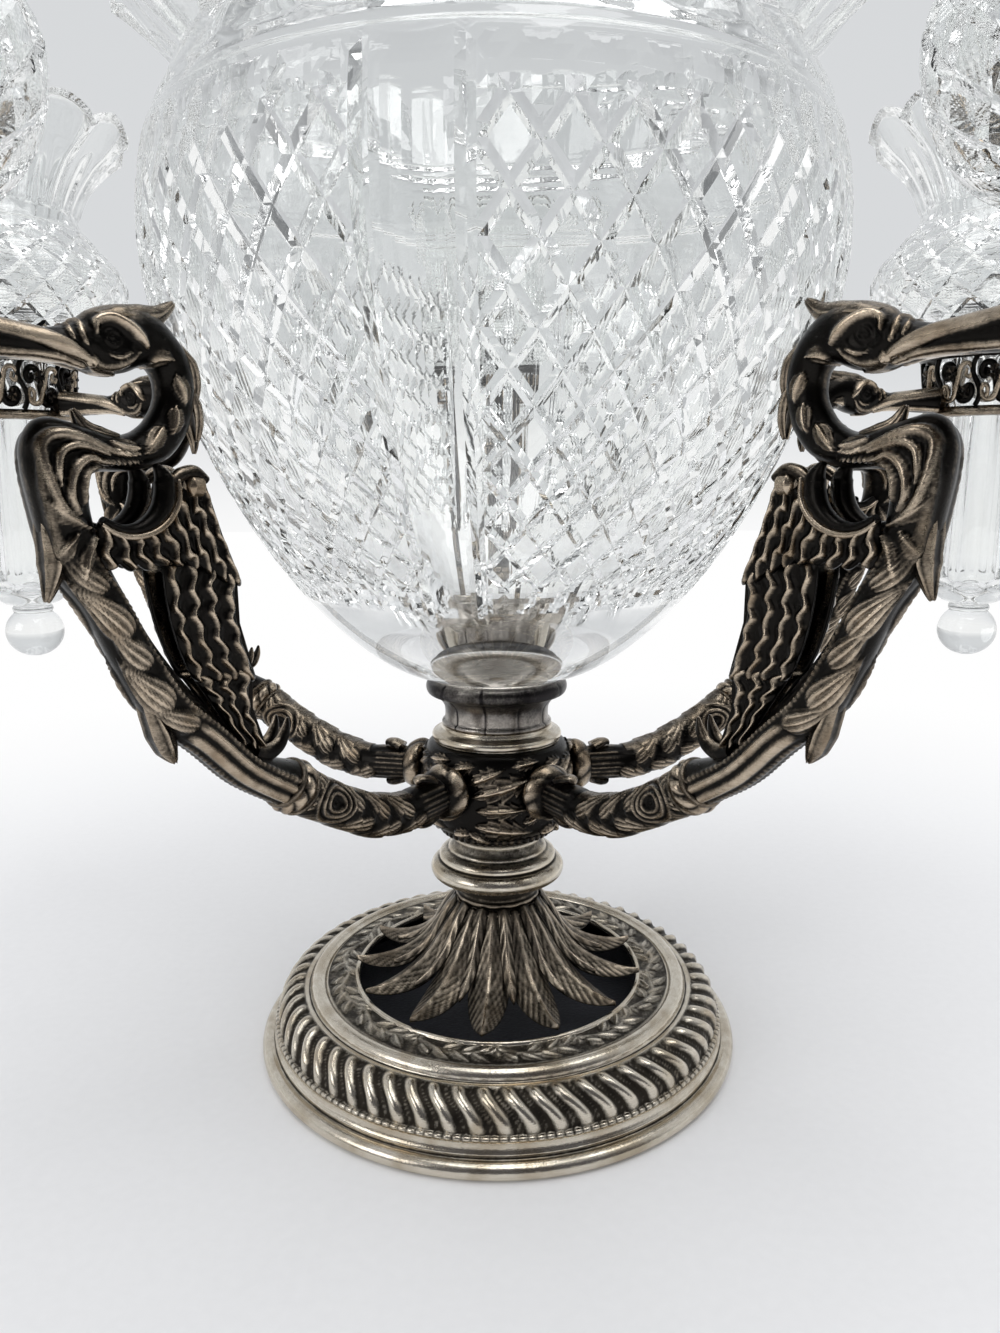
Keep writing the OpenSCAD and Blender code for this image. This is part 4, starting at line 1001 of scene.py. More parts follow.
def vase_outline(foot_r, foot_z, thinner, count):
    """Radii and levels of the vase above its seat: a quarter oval, a smooth waist and a flare."""
    belly, neck = (VASE_BELLY_R - thinner, VASE_BELLY_Z), (VASE_NECK_R - thinner, VASE_NECK_Z)
    t = np.linspace(0, 1, count)
    rise = t**1.5
    quarter = stretch((foot_r, foot_z), belly, np.sqrt(1 - (1 - rise) ** 2), rise)
    t = t[1:]
    return joined(quarter, stretch(belly, neck, 0.5 - 0.5 * np.cos(np.pi * t), t),
                  stretch(neck, (VASE_RIM_R - thinner, VASE_TOP), t**1.3, t))


def vase_cuts(u, v, z):
    """The net on the belly, a step at the neck and round-topped flutes on the mouth."""
    depth, split = net(u, v, 2 * VASE_NET_ROWS - 2)
    above = z - VASE_NECK_Z
    step = 0.9 * unit((above + 6.2) / 0.5) * unit((1.1 - above) / 2)
    along = unit(above / (VASE_TOP - VASE_NECK_Z))
    fade = unit((above + 1) / 1.5) * (0.25 + 1.05 * unit((0.62 - along) / 0.1) ** 0.5)
    return 1.2 * depth + step + flutes(u, VASE_COLUMNS / VASE_FLUTES) * fade, split


def vase_patch():
    """One cut vase along +X on its plain stalk: ball, small collar, panelled tube and throat."""
    outline = vase_outline(SEAT_R, SEAT_Z, 0, 900)
    bore = TUBE_R - VASE_WALL
    inner = joined(vase_outline(bore, SEAT_Z + VASE_WALL, VASE_WALL, 12)[::-1],
                   [(bore, TUBE_END + 9.1), (bore - 2, TUBE_END + 5.6), (0.4, TUBE_END + 4.5)])
    scale = measured(outline, VASE_NET_LOW, VASE_NET_HIGH, VASE_NET_ROWS)
    grid = np.arange(-0.5 * STEPS, (VASE_NET_ROWS - 0.5) * STEPS + 1) / STEPS
    levels = joined(VASE_NECK_Z + np.linspace(-7.8, 2.6, 22), np.linspace(VASE_NECK_Z + 3.6, VASE_TOP, 26))
    rows = (scale[:1], grid, np.interp(levels, outline[:, 1], scale))
    stalk = joined(arc((0, BALL_Z), (BALL_R, BALL_R * BALL_SQUASH), -88, 52, 22),
                   arc((COLLAR_R, TUBE_END - 1.6), (1.0, 1.4), -90, 60, 7),
                   arc((COLLAR_R, TUBE_END + 6.5), (TUBE_R - COLLAR_R, 6.5), -88, 0, 10),
                   run((TUBE_R, TUBE_END + 7.6), (TUBE_R, TUBE_TOP), 12),
                   run((TUBE_R, TUBE_TOP), (THROAT_R, SEAT_Z), 5), [(THROAT_R, SEAT_Z)])
    sides = VASE_COLUMNS * STEPS
    below = lathe(stalk, sides)
    panel = 2 * np.pi / TUBE_PANELS
    flat = np.cos(panel / 2) / np.cos(off_centre(turns(sides), panel))
    on_tube = (stalk[:, 1:] > TUBE_END + 7) & (stalk[:, 1:] < TUBE_TOP + 1)
    below[..., :2] *= np.where(on_tube, flat, 1)[..., None]
    vessel = glass_patch(below, outline, scale, rows, inner, VASE_COLUMNS, 0, vase_cuts, VASE_LOBES,
                         (VASE_NOTCH, VASE_NECK_Z, VASE_TOP))
    return moved([vessel], GALLERY_X, 0)


def on_branches(name, shapes, material, body, node):
    """The same patches on every branch."""
    for k, angle in enumerate(ARM_ANGLES, 1):
        here = [turned(shape, angle) for shape in shapes]
        piece(f"{name}_{k}", here, material, f"{body}_{k}", [f"{node}_{k}"])


on_branches("cut_vase", vase_patch(), GLASS, "vase_glass", "vase")

# %% [markdown]
# A branch is cast in one plane, so most of its forms are drawn in that plane, with x outwards from the collar
# and z up. Two helpers make them solid. A loft carries an oval through a list of cross lines, each given by
# its inner end, its outer end and its half thickness. A rib carries a small oval along a path, for leaf tips
# and the wing's edges.

# %% Branch helpers
COLLAR_X, COLLAR_Z = 88.0, 109.7
COLLAR_SLOPE = np.radians(37)
COLLAR_C, COLLAR_S = np.cos(COLLAR_SLOPE), np.sin(COLLAR_SLOPE)
COLLAR_W = 7.0
BRANCH_R = 6.0


def collar_line(side):
    """The cross line of a branch at one face of its collar, square to the collar's axis."""
    x, z = side * COLLAR_W / 2 * COLLAR_C, side * COLLAR_W / 2 * COLLAR_S
    right, up = BRANCH_R * COLLAR_S, BRANCH_R * COLLAR_C
    return (x - right, z + up, x + right, z - up, BRANCH_R)


def loft(lines, rows, columns):
    """A smooth solid through cross lines, in even steps: its points, and four charts on it.

    The charts are the length along the middle in millimetres, the share of the way across a flank from the
    inner edge, the way round the flank from the outer edge in millimetres, and the place among the cross
    lines.
    """
    rough = curve(lines, 6 * rows)
    length = lengths((rough[:, 0:2] + rough[:, 2:4]) / 2)
    even = np.linspace(0, length[-1], rows)
    part = np.interp(even, length, np.linspace(0, len(lines) - 1, 6 * rows))
    line = curve(lines, part)
    inner, outer, half = line[:, 0:2], line[:, 2:4], line[:, 4]
    angle = turns(columns)
    plane = ((inner + outer) / 2)[:, None] + (outer - inner)[:, None] / 2 * np.cos(angle)[None, :, None]
    points = np.stack([plane[..., 0], half[:, None] * np.sin(angle), plane[..., 1]], -1)
    girth = (np.linalg.norm(outer - inner, axis=1) / 2 + half) / 2
    side = girth[:, None] * np.minimum(angle, 2 * np.pi - angle)
    across = (1 + np.cos(angle)) / 2 + 0 * side
    return points, even[:, None] + 0 * side, across, side, part[:, None] + 0 * side


def rib(path, across, thick, rows, columns, y=0.0):
    """An oval carried along a path in the branch's plane, with half widths in the plane and across it."""
    path = curve(path, rows)
    across, thick = spread(across, rows)[:, None], spread(thick, rows)[:, None]
    direction = np.gradient(path, axis=0)
    normal = np.stack([-direction[:, 1], direction[:, 0]], 1)
    normal /= np.linalg.norm(direction, axis=1, keepdims=True)
    angle = turns(columns)
    plane = path[:, None] + normal[:, None] * (across * np.cos(angle))[..., None]
    return np.stack([plane[..., 0], y + thick * np.sin(angle), plane[..., 1]], -1), np.cos(angle)


def on_arms(name, shapes, node):
    """Dark castings on every branch, from patches drawn about the collar's centre."""
    on_branches(name, moved(shapes, COLLAR_X, COLLAR_Z), DARK_SILVER, "branch", node)


print("branch helpers ready")

# %% [markdown]
# The arm's root leaves the boss as a reeded rod, bends up and is wrapped in long leaves. Rings of fine lines
# run round a sunk eye near its end. The collar is a wide bead of twisted leaves between two thin rings.

# %% Arm roots and collars
ROOT_RUN = COLLAR_X - BOSS_X
ROOT_PLAN = np.array([(0, 5.6, 0, -5.6, 5.6), (0.15, 5.4, 0.15, -6.0, 5.7), (0.28, 5.3, 0.29, -6.2, 5.9),
                      (0.46, 7.8, 0.53, -3.6, 6.0), (0.68, 13.7, 0.78, 3.7, 6.0)])
ROOT_WIDTH = 11.5
ROOT_ROWS, FLANK_COLUMNS = 140, 84
ROOT_LEAVES = 9
EYE_BACK, EYE_ACROSS = 8.5, 5.4
COLLAR_LEAVES = 9
COLLAR_SIDES = 117
BEAD_MID, BEAD_HALF = -0.35, 2.0


def root_patches():
    """The root's loft with leaves and a ringed black eye near the collar, and curled tips near the boss."""
    lines = ROOT_PLAN.copy()
    lines[:, [0, 2]] = BOSS_X + ROOT_RUN * lines[:, [0, 2]] - COLLAR_X
    lines[:, [1, 3]] += ARM_Z - COLLAR_Z
    points, along, across, _, _ = loft(joined(lines, [collar_line(-1)]), ROOT_ROWS, FLANK_COLUMNS)
    flank = 2 * np.sqrt(across * (1 - across))
    reeds = (0.5 + 0.5 * np.cos(2 * np.pi * across * 7.5)) * unit((13 - along) / 3)
    height, shade = 0.4 * reeds, 0.05 + 0.4 * reeds
    wide = across * ROOT_WIDTH
    for k in range(ROOT_LEAVES):
        lean, start = (0.38, 4.6) if k % 2 else (-0.38, 7.0)
        blade = leaf(wide, along, (start, 10.5 + 5.6 * k), np.pi / 2 + lean, 15.5, 7.6, 4, 0.55, 3)
        height, shade = np.maximum(height, 1.2 * blade), np.maximum(shade, 0.05 + 0.8 * blade)
    eye = np.hypot(wide - EYE_ACROSS, (along - along.max() + EYE_BACK) / 1.3)
    near, rings = unit((6.2 - eye) / 1.2), 0.5 - 0.5 * np.cos(2 * np.pi * eye / 1.5)
    height = height + near * (0.8 * rings - 1.4 * ridge(eye, 2.4) - height)
    shade = shade + near * ((0.1 + 0.6 * rings) * unit(eye - 1.4) - shade)
    edge = ridge(across - 0.03, 0.12) * (along > 14)
    shapes = [patch(raised(points, height * (0.3 + 0.7 * flank) + 0.3 * edge), np.maximum(shade, 0.5 * edge))]
    for side in (1, -1):
        tip = ARM_Z - COLLAR_Z + side * 5.6
        path = [(-54, tip), (-51, tip + side * 1.2), (-48.8, tip + side * 1.4), (-48.0, tip + side * 0.2)]
        grid, face = rib(path, (1.6, 1.5, 1.0, 0.3), (3.4, 3.0, 2.0, 0.5), 26, 18)
        shapes.append(patch(grid, 0.15 + 0.55 * np.abs(face)))
    return shapes


def collar_patch():
    """The collar turned about its sloping axis: a wide bead of twisted leaves between two thin rings."""
    profile = joined(
        [(0.3, -3.5)], arc((6.2, -2.95), (0.7, 0.55), -90, 75, 8),
        arc((5.6, BEAD_MID), (1.9, BEAD_HALF), -78, 78, 20), arc((6.0, 2.6), (0.9, 0.85), -65, 88, 10),
        [(0.3, 3.5)])
    radius, h = profile[:, :1], profile[:, 1:]
    angle = turns(COLLAR_SIDES)
    on_bead = unit((BEAD_HALF - np.abs(h - BEAD_MID)) / 0.4)
    twist = np.abs(np.cos(COLLAR_LEAVES / 2 * angle + 0.5 * h)) ** 0.6
    x, y, h = np.moveaxis(polar(radius * (1 - 0.09 * on_bead * (1 - twist)), angle, h), -1, 0)
    points = np.stack([h * COLLAR_C - x * COLLAR_S, y, h * COLLAR_S + x * COLLAR_C], -1)
    return patch(points, 0.45 - on_bead * (0.4 - 0.75 * twist))


on_arms("leafed_root", root_patches(), "arm_root")
on_arms("beaded_collar", [collar_patch()], "arm_collar")

# %% [markdown]
# The bird is one casting. Its body is a loft that climbs from the collar, turns over the chest into an
# S-shaped neck and ends in a crested head with a long beak. The climb starts with smooth reeds between milled
# lines. Above a leaf tip it carries long and short acanthus lobes beside a milled cord. Flowing ridges, small
# leaves, the brow and the beak's bands are strokes drawn in the bird's plane. Each stroke has a path, its
# half widths along the path and the number of its lines.

# %% Bird body
BIRD_PLAN = np.array([
    (11.1, 11.9, 18.7, 5.6, 5.2), (21.5, 22.3, 28.9, 15.6, 5.0), (30.2, 32.2, 39.4, 25.4, 5.2),
    (38.0, 43.0, 46.5, 38.4, 5.2), (43.6, 53.3, 51.9, 50.4, 5.3), (47.8, 62.5, 58.4, 60.3, 5.5),
    (50.0, 70.9, 61.0, 71.4, 5.6), (49.8, 77.4, 62.4, 82.0, 5.6), (48.0, 78.9, 60.6, 87.6, 5.5),
    (46.0, 79.2, 57.0, 89.6, 5.3), (43.0, 79.2, 51.0, 88.4, 5.0), (39.5, 79.4, 44.2, 86.6, 4.7),
    (34.5, 80.3, 39.6, 87.0, 4.4), (29.8, 82.6, 36.0, 89.0, 4.2), (25.8, 87.4, 33.6, 91.8, 4.2),
    (23.8, 92.8, 32.3, 94.4, 4.2), (23.3, 98.0, 32.1, 97.2, 4.3), (24.4, 102.8, 33.0, 99.6, 4.6),
    (27.2, 107.0, 34.9, 100.8, 5.2), (31.5, 110.8, 37.0, 100.0, 5.7), (36.5, 112.4, 39.5, 99.0, 5.9),
    (41.5, 112.1, 43.0, 98.4, 5.6), (46.5, 110.4, 46.8, 98.6, 4.9), (50.6, 107.4, 50.6, 99.5, 4.0),
    (58.5, 106.0, 58.5, 100.5, 3.5), (67.0, 107.0, 67.0, 99.6, 3.5), (76.0, 108.0, 76.0, 99.4, 3.8)])
BODY_ROWS = 380
LEAF_PART, CHEST_PART, HEAD_PART, NECK_END = 2.5, 6.4, 18.5, 20.0
CROWN_HIGHLIGHT_Z, BEAK_X = 107.5, 51.0
EYE = (44.0, 105.2)
BROW = (((47.2, 105.6), (46.8, 107.8), (43.8, 108.9), (40.8, 107.7), (38.7, 105.8), (37.2, 103.8)),
        (0.4, 0.9, 1.2, 1.6, 1.7, 0.3), 1)
CHEEKS = ((((38.6, 103.0), (40.7, 100.8), (43.7, 99.6), (46.7, 100.0), (48.2, 101.6)),
           (0.2, 0.7, 0.8, 0.7, 0.2)),
          (((40.2, 102.8), (42.5, 101.6), (45.2, 101.9)), (0.2, 0.7, 0.2)),
          (((42.4, 98.6), (46.0, 98.9), (49.0, 100.2)), (0.2, 0.6, 0.2)))
BEAK = ((((47.6, 100.2), (50.6, 101.6), (53.6, 102.8), (59.1, 104.5), (65.0, 105.3), (76.0, 106.6)),
         (0.4, 1.2, 1.7, 1.8, 1.7, 1.6)),
        (((49.0, 99.6), (55.2, 100.8), (63.5, 100.9), (76.0, 100.6)), (0.3, 0.7, 0.8, 0.8)),
        (((49.4, 103.2), (49.9, 105.6), (49.2, 108.0)), (0.2, 0.7, 0.2)),
        (((51.6, 104.0), (52.1, 105.4), (51.6, 107.0)), (0.2, 0.6, 0.2)))
NECK_LEAVES = [(path, (0.3, 1.6, 1.9, 1.3, 0.2), 2) for path in (
    ((36.2, 101.6), (33.4, 102.3), (30.6, 102.2)), ((29.6, 99.0), (28.2, 96.2), (28.0, 93.2)),
    ((30.0, 92.6), (30.4, 89.8), (31.6, 86.8)), ((33.2, 88.4), (35.6, 85.6), (38.8, 82.7)),
    ((39.8, 83.7), (43.2, 83.9), (46.8, 84.9)))]
FLOWS = ((((39.6, 82.8), (44.0, 82.7), (48.7, 83.9), (53.9, 85.8), (58.0, 86.2), (60.2, 84.4), (60.2, 81.0),
           (59.0, 76.0), (57.4, 72.0), (54.5, 68.8)), (0.2, 0.6, 0.9, 1.2, 1.3, 1.2, 1.1, 1.0, 0.9, 0.2)),
         (((39.7, 81.4), (47.9, 81.3), (51.6, 82.0), (54.4, 80.4), (55.9, 77.7), (56.2, 74.4), (55.0, 71.0)),
          (0.2, 0.8, 1.0, 1.1, 1.0, 0.9, 0.2)),
         (((47.0, 82.5), (51.0, 83.7), (54.6, 84.1), (57.2, 82.8), (58.0, 80.0), (57.8, 76.6)),
          (0.2, 0.7, 0.9, 0.9, 0.8, 0.2)),
         (((46.0, 80.1), (49.6, 80.3), (52.0, 79.2), (53.4, 76.6), (53.6, 73.0)), (0.2, 0.6, 0.8, 0.8, 0.2)),
         (((61.0, 81.0), (60.6, 76.0), (59.6, 70.5), (58.8, 64.5), (59.4, 58.5)),
          (0.3, 1.0, 1.4, 1.5, 0.3), 1),
         (((60.0, 74.0), (57.2, 70.8), (53.2, 68.2)), (0.3, 1.9, 0.4), 2),
         (((55.4, 67.4), (58.0, 63.6), (59.8, 59.8)), (0.3, 2.0, 0.4), 2),
         (((52.0, 66.4), (53.8, 62.6), (54.4, 58.4)), (0.3, 1.6, 0.3), 2))


def climb_carving(along, side, leaf_at):
    """The climb: reeds and milled lines below the leaf tip, lobes beside a milled cord above it."""
    below = unit((leaf_at - along) / 3)
    ticks = 0.5 + 0.5 * np.cos(2 * np.pi * along / 1.6)
    cord = ridge(side - 10.5, 1.0) * (0.45 + 0.55 * ticks)
    reeds = ridge(side - 4.6, 1.6) + 0.9 * ridge(side - 8.0, 1.3)
    milled = ridge(side - 1.6, 1.2) * (0.4 + 0.6 * ticks)
    lobes = 0 * along
    for start in leaf_at + 19.0 * np.arange(3):
        lobes = np.maximum(lobes, leaf(side, along, (6.8, start + 7.5), 1.86, 17.0, 7.8, 5, 0.5))
        lobes = np.maximum(lobes, 0.9 * leaf(side, along, (7.8, start - 0.5), 1.92, 14.0, 6.4, 4, 0.5))
    height = 0.6 * cord + below * (0.9 * reeds + 0.5 * milled) + (1 - below) * 1.5 * lobes
    return height, 0.5 * cord + below * (0.75 * reeds + 0.45 * milled) + (1 - below) * 0.85 * lobes


def head_carving(x, z):
    """The head: a small eye in a dark hollow, a brow that ends as a leaf, cheek arcs and the beak's bands."""
    dx, dz = x - EYE[0], z - EYE[1]
    r = np.hypot(dx, dz)
    skull = unit((BEAK_X - x) / 2)
    brow = stroke(x, z, *BROW)
    socket = unit(1 - np.hypot(dx / 1.25, dz) / 3.2) ** 0.5 * (1 - brow)
    pupil, lid = ridge(r, 0.7), ridge(r - 1.4, 0.5)
    cheek, bands = strokes(x, z, CHEEKS), strokes(x, z, BEAK)
    height = skull * (-1.2 * socket + 0.9 * pupil + 0.6 * lid) + 1.4 * brow + 0.6 * cheek + 0.8 * bands
    shade = skull * (-0.4 * socket + 0.1 * pupil + 0.12 * lid) + 0.9 * brow + 0.5 * cheek + 0.7 * bands
    return height, shade


def body_patch():
    """The body's loft, carved on both flanks alike."""
    lines = joined([collar_line(1)], BIRD_PLAN)
    points, along, across, side, part = loft(lines, BODY_ROWS, FLANK_COLUMNS)
    x, z = points[..., 0], points[..., 2]
    climb, head = unit((CHEST_PART - part) / 0.8), unit((part - HEAD_PART) / 1.5)
    neck = unit((part - CHEST_PART + 1) * 2) * unit((NECK_END - part) * 2)
    flank = unit(4 * np.sqrt(across * (1 - across)) - 0.7)
    flow, leaves = neck * flank * strokes(x, z, FLOWS), neck * strokes(x, z, NECK_LEAVES)
    climb_rise, climb_shade = climb_carving(along, side, np.interp(LEAF_PART, part[:, 0], along[:, 0]))
    head_rise, head_shade = head_carving(x, z)
    height = climb_rise * climb + 1.5 * flow + 1.1 * leaves + head * head_rise
    shade = climb_shade * climb + 0.6 * flow + 0.75 * leaves + head * head_shade
    # A painted highlight: the top of each bird's head is brighter above a level, as light falls on the dome.
    crown_highlight = 0.3 * unit((z - CROWN_HIGHLIGHT_Z) / 3) * head
    # Brighter along the outer and inner edges above the chest: rubbed edges, and a painted highlight along
    # the outline.
    edge = 0.2 * (ridge(side, 1.2) + ridge(across, 0.06)) * unit(part - CHEST_PART)
    return patch(raised(points, height), unit(0.12 + shade + edge + crown_highlight))


print("bird body:", len(BIRD_PLAN), "cross lines")

# %% [markdown]
# The wings stand on both flanks, apart at the top and close together at the bottom. Each has three tiers of
# long feathers with wavy bright shafts. A tier is a sheet through a top, a middle and a bottom line, with a
# number of shafts and its distance from the bird's plane at the top and the bottom. Ribs make the crescent
# that frames the hole between wing and neck, its bright rim, the bead and the roll at the shoulder, and the
# curl at the foot. Leaf tips are ribs too.

# %% Bird wings and tips
TIERS = (
    (((12.2, 34.0), (18.0, 34.0), (24.0, 34.2), (30.0, 34.5)),
     ((13.8, 23.4), (17.2, 24.2), (20.6, 25.2), (24.2, 26.4)),
     ((8.4, 12.0), (11.0, 12.4), (14.0, 13.4), (17.6, 15.6)), 3, 2.3, 1.7),
    (((16.4, 56.5), (23.0, 58.6), (29.5, 60.0), (36.0, 60.0)),
     ((17.0, 45.0), (23.0, 45.2), (29.0, 45.4), (34.2, 45.6)),
     ((11.6, 30.4), (17.5, 31.4), (23.5, 32.2), (29.4, 33.0)), 4, 3.6, 2.8),
    (((24.2, 76.4), (28.4, 77.0), (32.0, 73.4), (34.6, 69.6), (38.6, 67.2), (43.0, 66.4), (47.2, 67.2),
      (50.6, 69.4)),
     ((20.9, 65.5), (24.6, 66.2), (28.8, 65.8), (32.2, 64.8), (36.8, 63.6), (41.5, 62.9), (46.1, 63.3),
      (50.8, 64.8)),
     ((15.6, 53.8), (19.8, 54.6), (25.2, 57.4), (30.0, 59.0), (35.0, 59.9), (40.0, 59.4), (45.0, 59.6),
      (51.0, 60.4)), 9, 4.6, 4.5))
WING_RIBS = (
    (((36.4, 80.6), (34.6, 77.4), (35.0, 73.2), (37.4, 69.8), (41.4, 67.7), (45.6, 67.6), (49.6, 69.6)),
     (0.5, 2.4, 2.5, 2.0, 1.4, 1.1, 0.9), (0.8, 2.0, 2.3, 2.2, 2.0, 1.7, 1.2), 48, 22, 4.6,
     lambda face: 0.12 + 0.9 * unit(-face - 0.3)),
    (((32.0, 77.6), (32.3, 73.2), (34.6, 69.5), (38.2, 67.0), (42.7, 66.0), (47.0, 66.7), (50.4, 68.9)),
     (0.4, 0.8, 0.85, 0.8, 0.7, 0.4), (0.6, 0.9, 1.0, 0.9, 0.7, 0.4), 48, 12, 5.9, lambda face: 0.7),
    (((25.3, 75.8), (26.2, 75.9), (28.8, 76.1), (30.0, 76.2)),
     (0.4, 2.4, 2.5, 0.5), (0.4, 2.2, 2.3, 0.5), 24, 18, 5.2, lambda face: 0.75),
    (((24.6, 77.2), (27.4, 79.0), (30.6, 78.6), (33.0, 77.4), (34.6, 78.6)),
     (1.2, 1.6, 1.5, 1.1, 0.4), (1.6, 2.0, 1.8, 1.4, 0.5), 32, 16, 4.8,
     lambda face: 0.25 + 0.45 * unit(face)),
    (((13.0, 12.6), (9.0, 11.4), (5.2, 12.8), (3.0, 16.0), (2.2, 19.0)),
     (2.0, 2.2, 1.9, 1.3, 0.3), (1.8, 1.7, 1.5, 1.1, 0.3), 36, 18, 2.1,
     lambda face: 0.2 + 0.5 * np.abs(face) ** 3))
TIPS = {
    "crest": (((46.0, 109.2), (41.0, 109.8), (36.0, 110.2), (31.0, 111.2), (26.4, 114.2)),
              (0.8, 2.3, 2.7, 2.1, 0.5), (4.2, 4.6, 3.8, 2.6, 0.7), 5),
    "plume": (((40.0, 107.2), (36.4, 107.8), (33.2, 107.6), (30.4, 108.0)),
              (0.8, 1.4, 1.2, 0.3), (4.8, 4.8, 3.8, 0.9), 3),
    "tuft": (((42.4, 86.0), (46.6, 86.9), (49.4, 88.2), (51.2, 91.2)),
             (0.6, 1.3, 1.2, 0.3), (2.2, 2.6, 1.8, 0.4), 3),
    "breast": (((59.4, 76.0), (58.8, 68.0), (58.2, 61.0), (60.0, 53.9)),
               (0.3, 1.9, 2.6, 0.4), (1.0, 3.2, 3.2, 0.5), 5),
    "nape": (((27.4, 105.6), (24.0, 101.8), (22.6, 97.8), (22.4, 94.0)),
             (0.6, 1.4, 1.2, 0.3), (2.4, 3.0, 2.0, 0.4), 3),
    "low nape": (((24.8, 97.2), (23.2, 93.2), (22.4, 89.4), (22.6, 85.8)),
                 (0.6, 1.3, 1.1, 0.3), (2.4, 2.8, 1.8, 0.4), 3),
    "climb": (((42.0, 34.0), (39.6, 27.6), (37.4, 22.4), (35.6, 18.2), (33.7, 14.6)),
              (0.3, 1.7, 2.8, 2.5, 0.4), (1.4, 3.2, 3.4, 2.4, 0.5), 5),
}
WING_T = 1.5
WAVE = 6.0
TIP_ROWS, TIP_COLUMNS = 30, 24
PHASES = np.random.default_rng(7).uniform(0, 2 * np.pi, 12)


def tier_patch(top, middle, bottom, shafts, offset_top, offset_low):
    """A tier of feathers on the +Y flank: rows run across them, columns down the face and up the back.

    The sheet is a parabola through the three lines. A shaft swings from side to side as it runs down, each
    with a start of its own, and every feather ends in a round scallop.
    """
    rows, outer, inner = 12 * shafts + 24, 56, 6
    share = np.linspace(0, 1, rows)[:, None]
    top, middle, bottom = (curve(line, rows)[:, None] for line in (top, middle, bottom))
    wide = np.linalg.norm(np.gradient(middle[:, 0], axis=0), axis=1).sum()
    pitch = wide / shafts
    scallop = ridge(off_centre(share * wide - pitch / 2, pitch), pitch / 2)
    drop = bottom - middle
    bottom = bottom + drop / np.linalg.norm(drop, axis=-1, keepdims=True) * (1.6 * scallop - 0.9)[..., None]
    down = joined(np.linspace(0, 1, outer), np.linspace(1, 0, inner + 2)[1:-1])
    outside = joined(np.ones(outer), -np.ones(inner))
    t = down[:, None]
    plane = top * (1 - t) * (1 - 2 * t) + middle * 4 * t * (1 - t) + bottom * t * (2 * t - 1)
    run_mm = down * np.linalg.norm(top[:, 0] - bottom[:, 0], axis=1)[:, None]
    phase = PHASES[np.minimum((share * shafts).astype(int), shafts - 1)]
    swing = 2 * np.pi * run_mm / WAVE + phase
    wave = (0.62 + 0.2 * np.sin(0.45 * run_mm + 2 * phase)) * np.sin(swing)
    distance = off_centre(share * wide + wave - pitch / 2, pitch)
    shaft = ridge(distance, 0.95) * (0.78 + 0.22 * np.cos(swing + 0.8)) * unit((1 - down) * 30)
    vane = ridge(distance, pitch / 2)
    lens = np.sqrt(unit(1 - (2 * down - 1) ** 8)) * np.sqrt(np.clip(1 - (2 * share - 1) ** 10, 0.02, 1))
    rise = lens * (WING_T / 2 + (outside > 0) * (1.2 * shaft + 0.45 * vane))
    offset = offset_top + (offset_low - offset_top) * down
    points = np.stack([plane[..., 0], offset + outside * rise, plane[..., 1]], -1)
    return patch(points, unit(0.10 + 0.75 * shaft + 0.1 * vane))


def mirrored(shape):
    """The same patch on the other flank."""
    return {**shape, "vertices": shape["vertices"] * (1, -1, 1), "triangles": shape["triangles"][:, ::-1]}


def wing_rib(path, across, thick, rows, columns, y, tone):
    """A rib on a wing, whose relief is a function of the cosine of the angle round it."""
    grid, face = rib(path, across, thick, rows, columns, y)
    return patch(grid, tone(face))


def leaf_tip(path, across, thick, folds):
    """A pointed leaf as a tapering rib, with so many bright folds that run from its root to its tip."""
    grid, face = rib(path, across, thick, TIP_ROWS, TIP_COLUMNS)
    fold = 0.5 + 0.5 * np.cos(np.pi * folds * face)
    return patch(raised(grid, np.broadcast_to(0.7 * (fold - 0.5), grid.shape[:2])), 0.22 + 0.6 * fold)


wing = [tier_patch(*tier) for tier in TIERS] + [wing_rib(*one) for one in WING_RIBS]
tips = [leaf_tip(*tip) for tip in TIPS.values()]
on_arms("bird_casting", [body_patch()] + wing + [mirrored(shape) for shape in wing] + tips, "bird")

# %% [markdown]
# The gallery is a pierced ring held by the beak. A bright flange and a dark rim are turned, and between them
# stand ten scrolls, each with a scroll behind it that is nearly black with painted shade, a post and two
# rosettes. They are thin tubes that run on the cone between the two rings.

# %% Galleries
GALLERY_Z = 209.0
GALLERY_H = 22.0
GALLERY_FOOT_R, GALLERY_R = 20.5, 24.0
RING_SIDES = 160
FLANGE = np.array([(13.6, -1.0), (21.4, -1.0), (21.9, -0.2), (21.9, 0.6), (21.2, 1.1), (20.8, 2.2),
                   (19.0, 2.2), (18.4, 1.0), (13.6, 1.0)])
GALLERY_RIM = np.array([(22.0, -3.4), (23.3, -3.6), (24.0, -2.6), (24.0, -0.6), (23.6, 0), (19.2, 0),
                        (19.6, -1.2)]) + (0, GALLERY_H)
SCROLLS = 10
SCROLL_POINTS = 64
SCROLL = ((0.10, 0.30), (0.16, 0.16), (0.26, 0.20), (0.27, 0.36), (0.18, 0.42), (0.12, 0.30), (0.22, 0.14),
          (0.42, 0.16), (0.52, 0.45), (0.62, 0.80), (0.80, 0.86), (0.90, 0.72), (0.84, 0.58), (0.75, 0.64),
          (0.78, 0.76))
ROSETTES = ((0.40, 0.66, 0.12, 0.16, 1.2), (0.74, 0.30, 0.10, 0.14, 1.1))


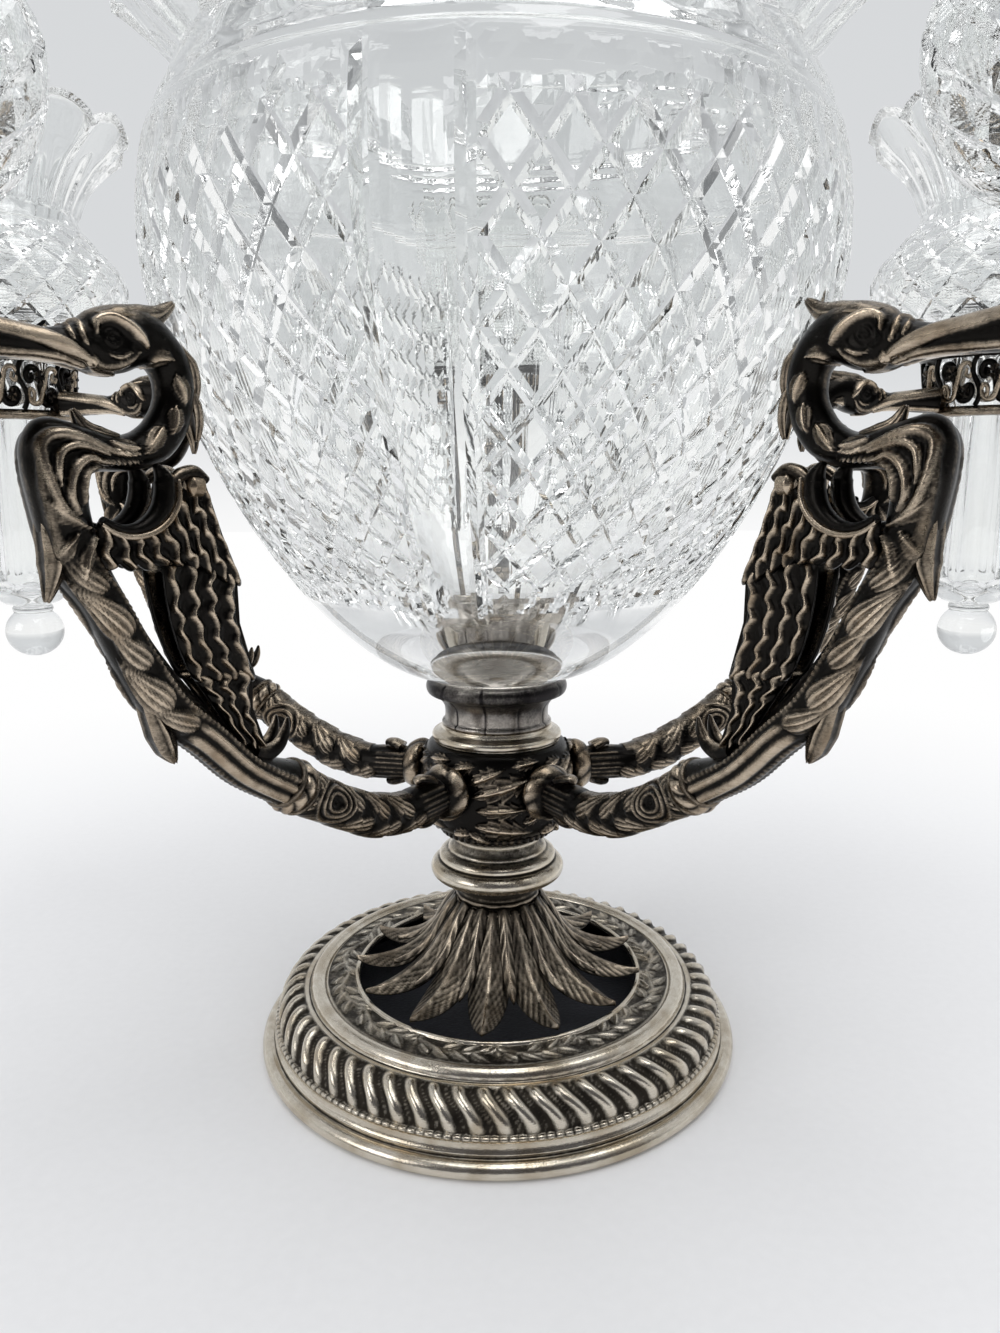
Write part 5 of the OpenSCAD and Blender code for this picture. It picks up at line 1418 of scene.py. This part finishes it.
def on_cone(across, up):
    """A place on the gallery's wall: the share of one scroll's angle and the share of the wall's height."""
    radius = GALLERY_FOOT_R + 0.2 + (GALLERY_R - 1.6 - GALLERY_FOOT_R) * up
    return polar(radius, np.pi + 2 * np.pi * across / SCROLLS, 2.2 + (GALLERY_H - 5.4) * up)


def thread(path, radius, columns=8, outward=None):
    """A round thread along a path in space, turned so that its rings stand square to it.

    outward is a direction in which the path never runs: the way out from the axis, if none is given.
    """
    direction = np.gradient(path, axis=0)
    direction /= np.linalg.norm(direction, axis=1, keepdims=True)
    side = np.cross(direction, path * (1, 1, 0) if outward is None else outward)
    side /= np.linalg.norm(side, axis=1, keepdims=True)
    lift = np.cross(side, direction)
    angle = turns(columns)[:, None]
    ring = side[:, None] * np.cos(angle) + lift[:, None] * np.sin(angle)
    return path[:, None] + np.broadcast_to(radius, len(path))[:, None, None] * ring


def gallery_patches():
    """Two turned rings, the scrolls, posts and rosettes between them and the lug that meets the beak."""
    shapes = [patch(lathe(FLANGE, RING_SIDES), 0.6, ring=True)]
    shapes.append(patch(lathe(GALLERY_RIM, RING_SIDES), 0.2, ring=True))
    across, up = curve(SCROLL, SCROLL_POINTS).T
    places = np.linspace(0, 1, SCROLL_POINTS)
    taper = 0.85 * np.interp(places, (0, 0.08, 0.5, 0.92, 1), (0.5, 0.8, 1.15, 0.8, 0.5))
    post, petal = np.linspace(0, 1, 14), np.linspace(0.25, 1, 6)
    for k in range(SCROLLS):
        shapes.append(patch(thread(on_cone(k + across, up), taper), 0.7))
        # The scroll behind is nearly black: painted shade of the gallery's inside.
        shapes.append(patch(thread(on_cone(k + 1 - across, up) * (0.96, 0.96, 1), 1.4 * taper), 0.04))
        shapes.append(patch(thread(on_cone(k + 0.1 * np.sin(2 * np.pi * post), post), 0.9), 0.1))
        for angle in turns(PETALS):
            for x, z, wide, tall, thick in ROSETTES:
                path = on_cone(k + x + wide * np.cos(angle) * petal, z + tall * np.sin(angle) * petal)
                shapes.append(patch(thread(path, thick * petal), 0.3))
    lug = np.linspace((-23.8, 0, 4.4), (-20.0, 0, 4.4), 6)
    return shapes + [patch(thread(lug, 2.6, 24, (0, 0, 1)), 0.4)]


gallery = moved(gallery_patches(), GALLERY_X, GALLERY_Z)
on_branches("pierced_gallery", gallery, DARK_SILVER, "branch", "gallery")
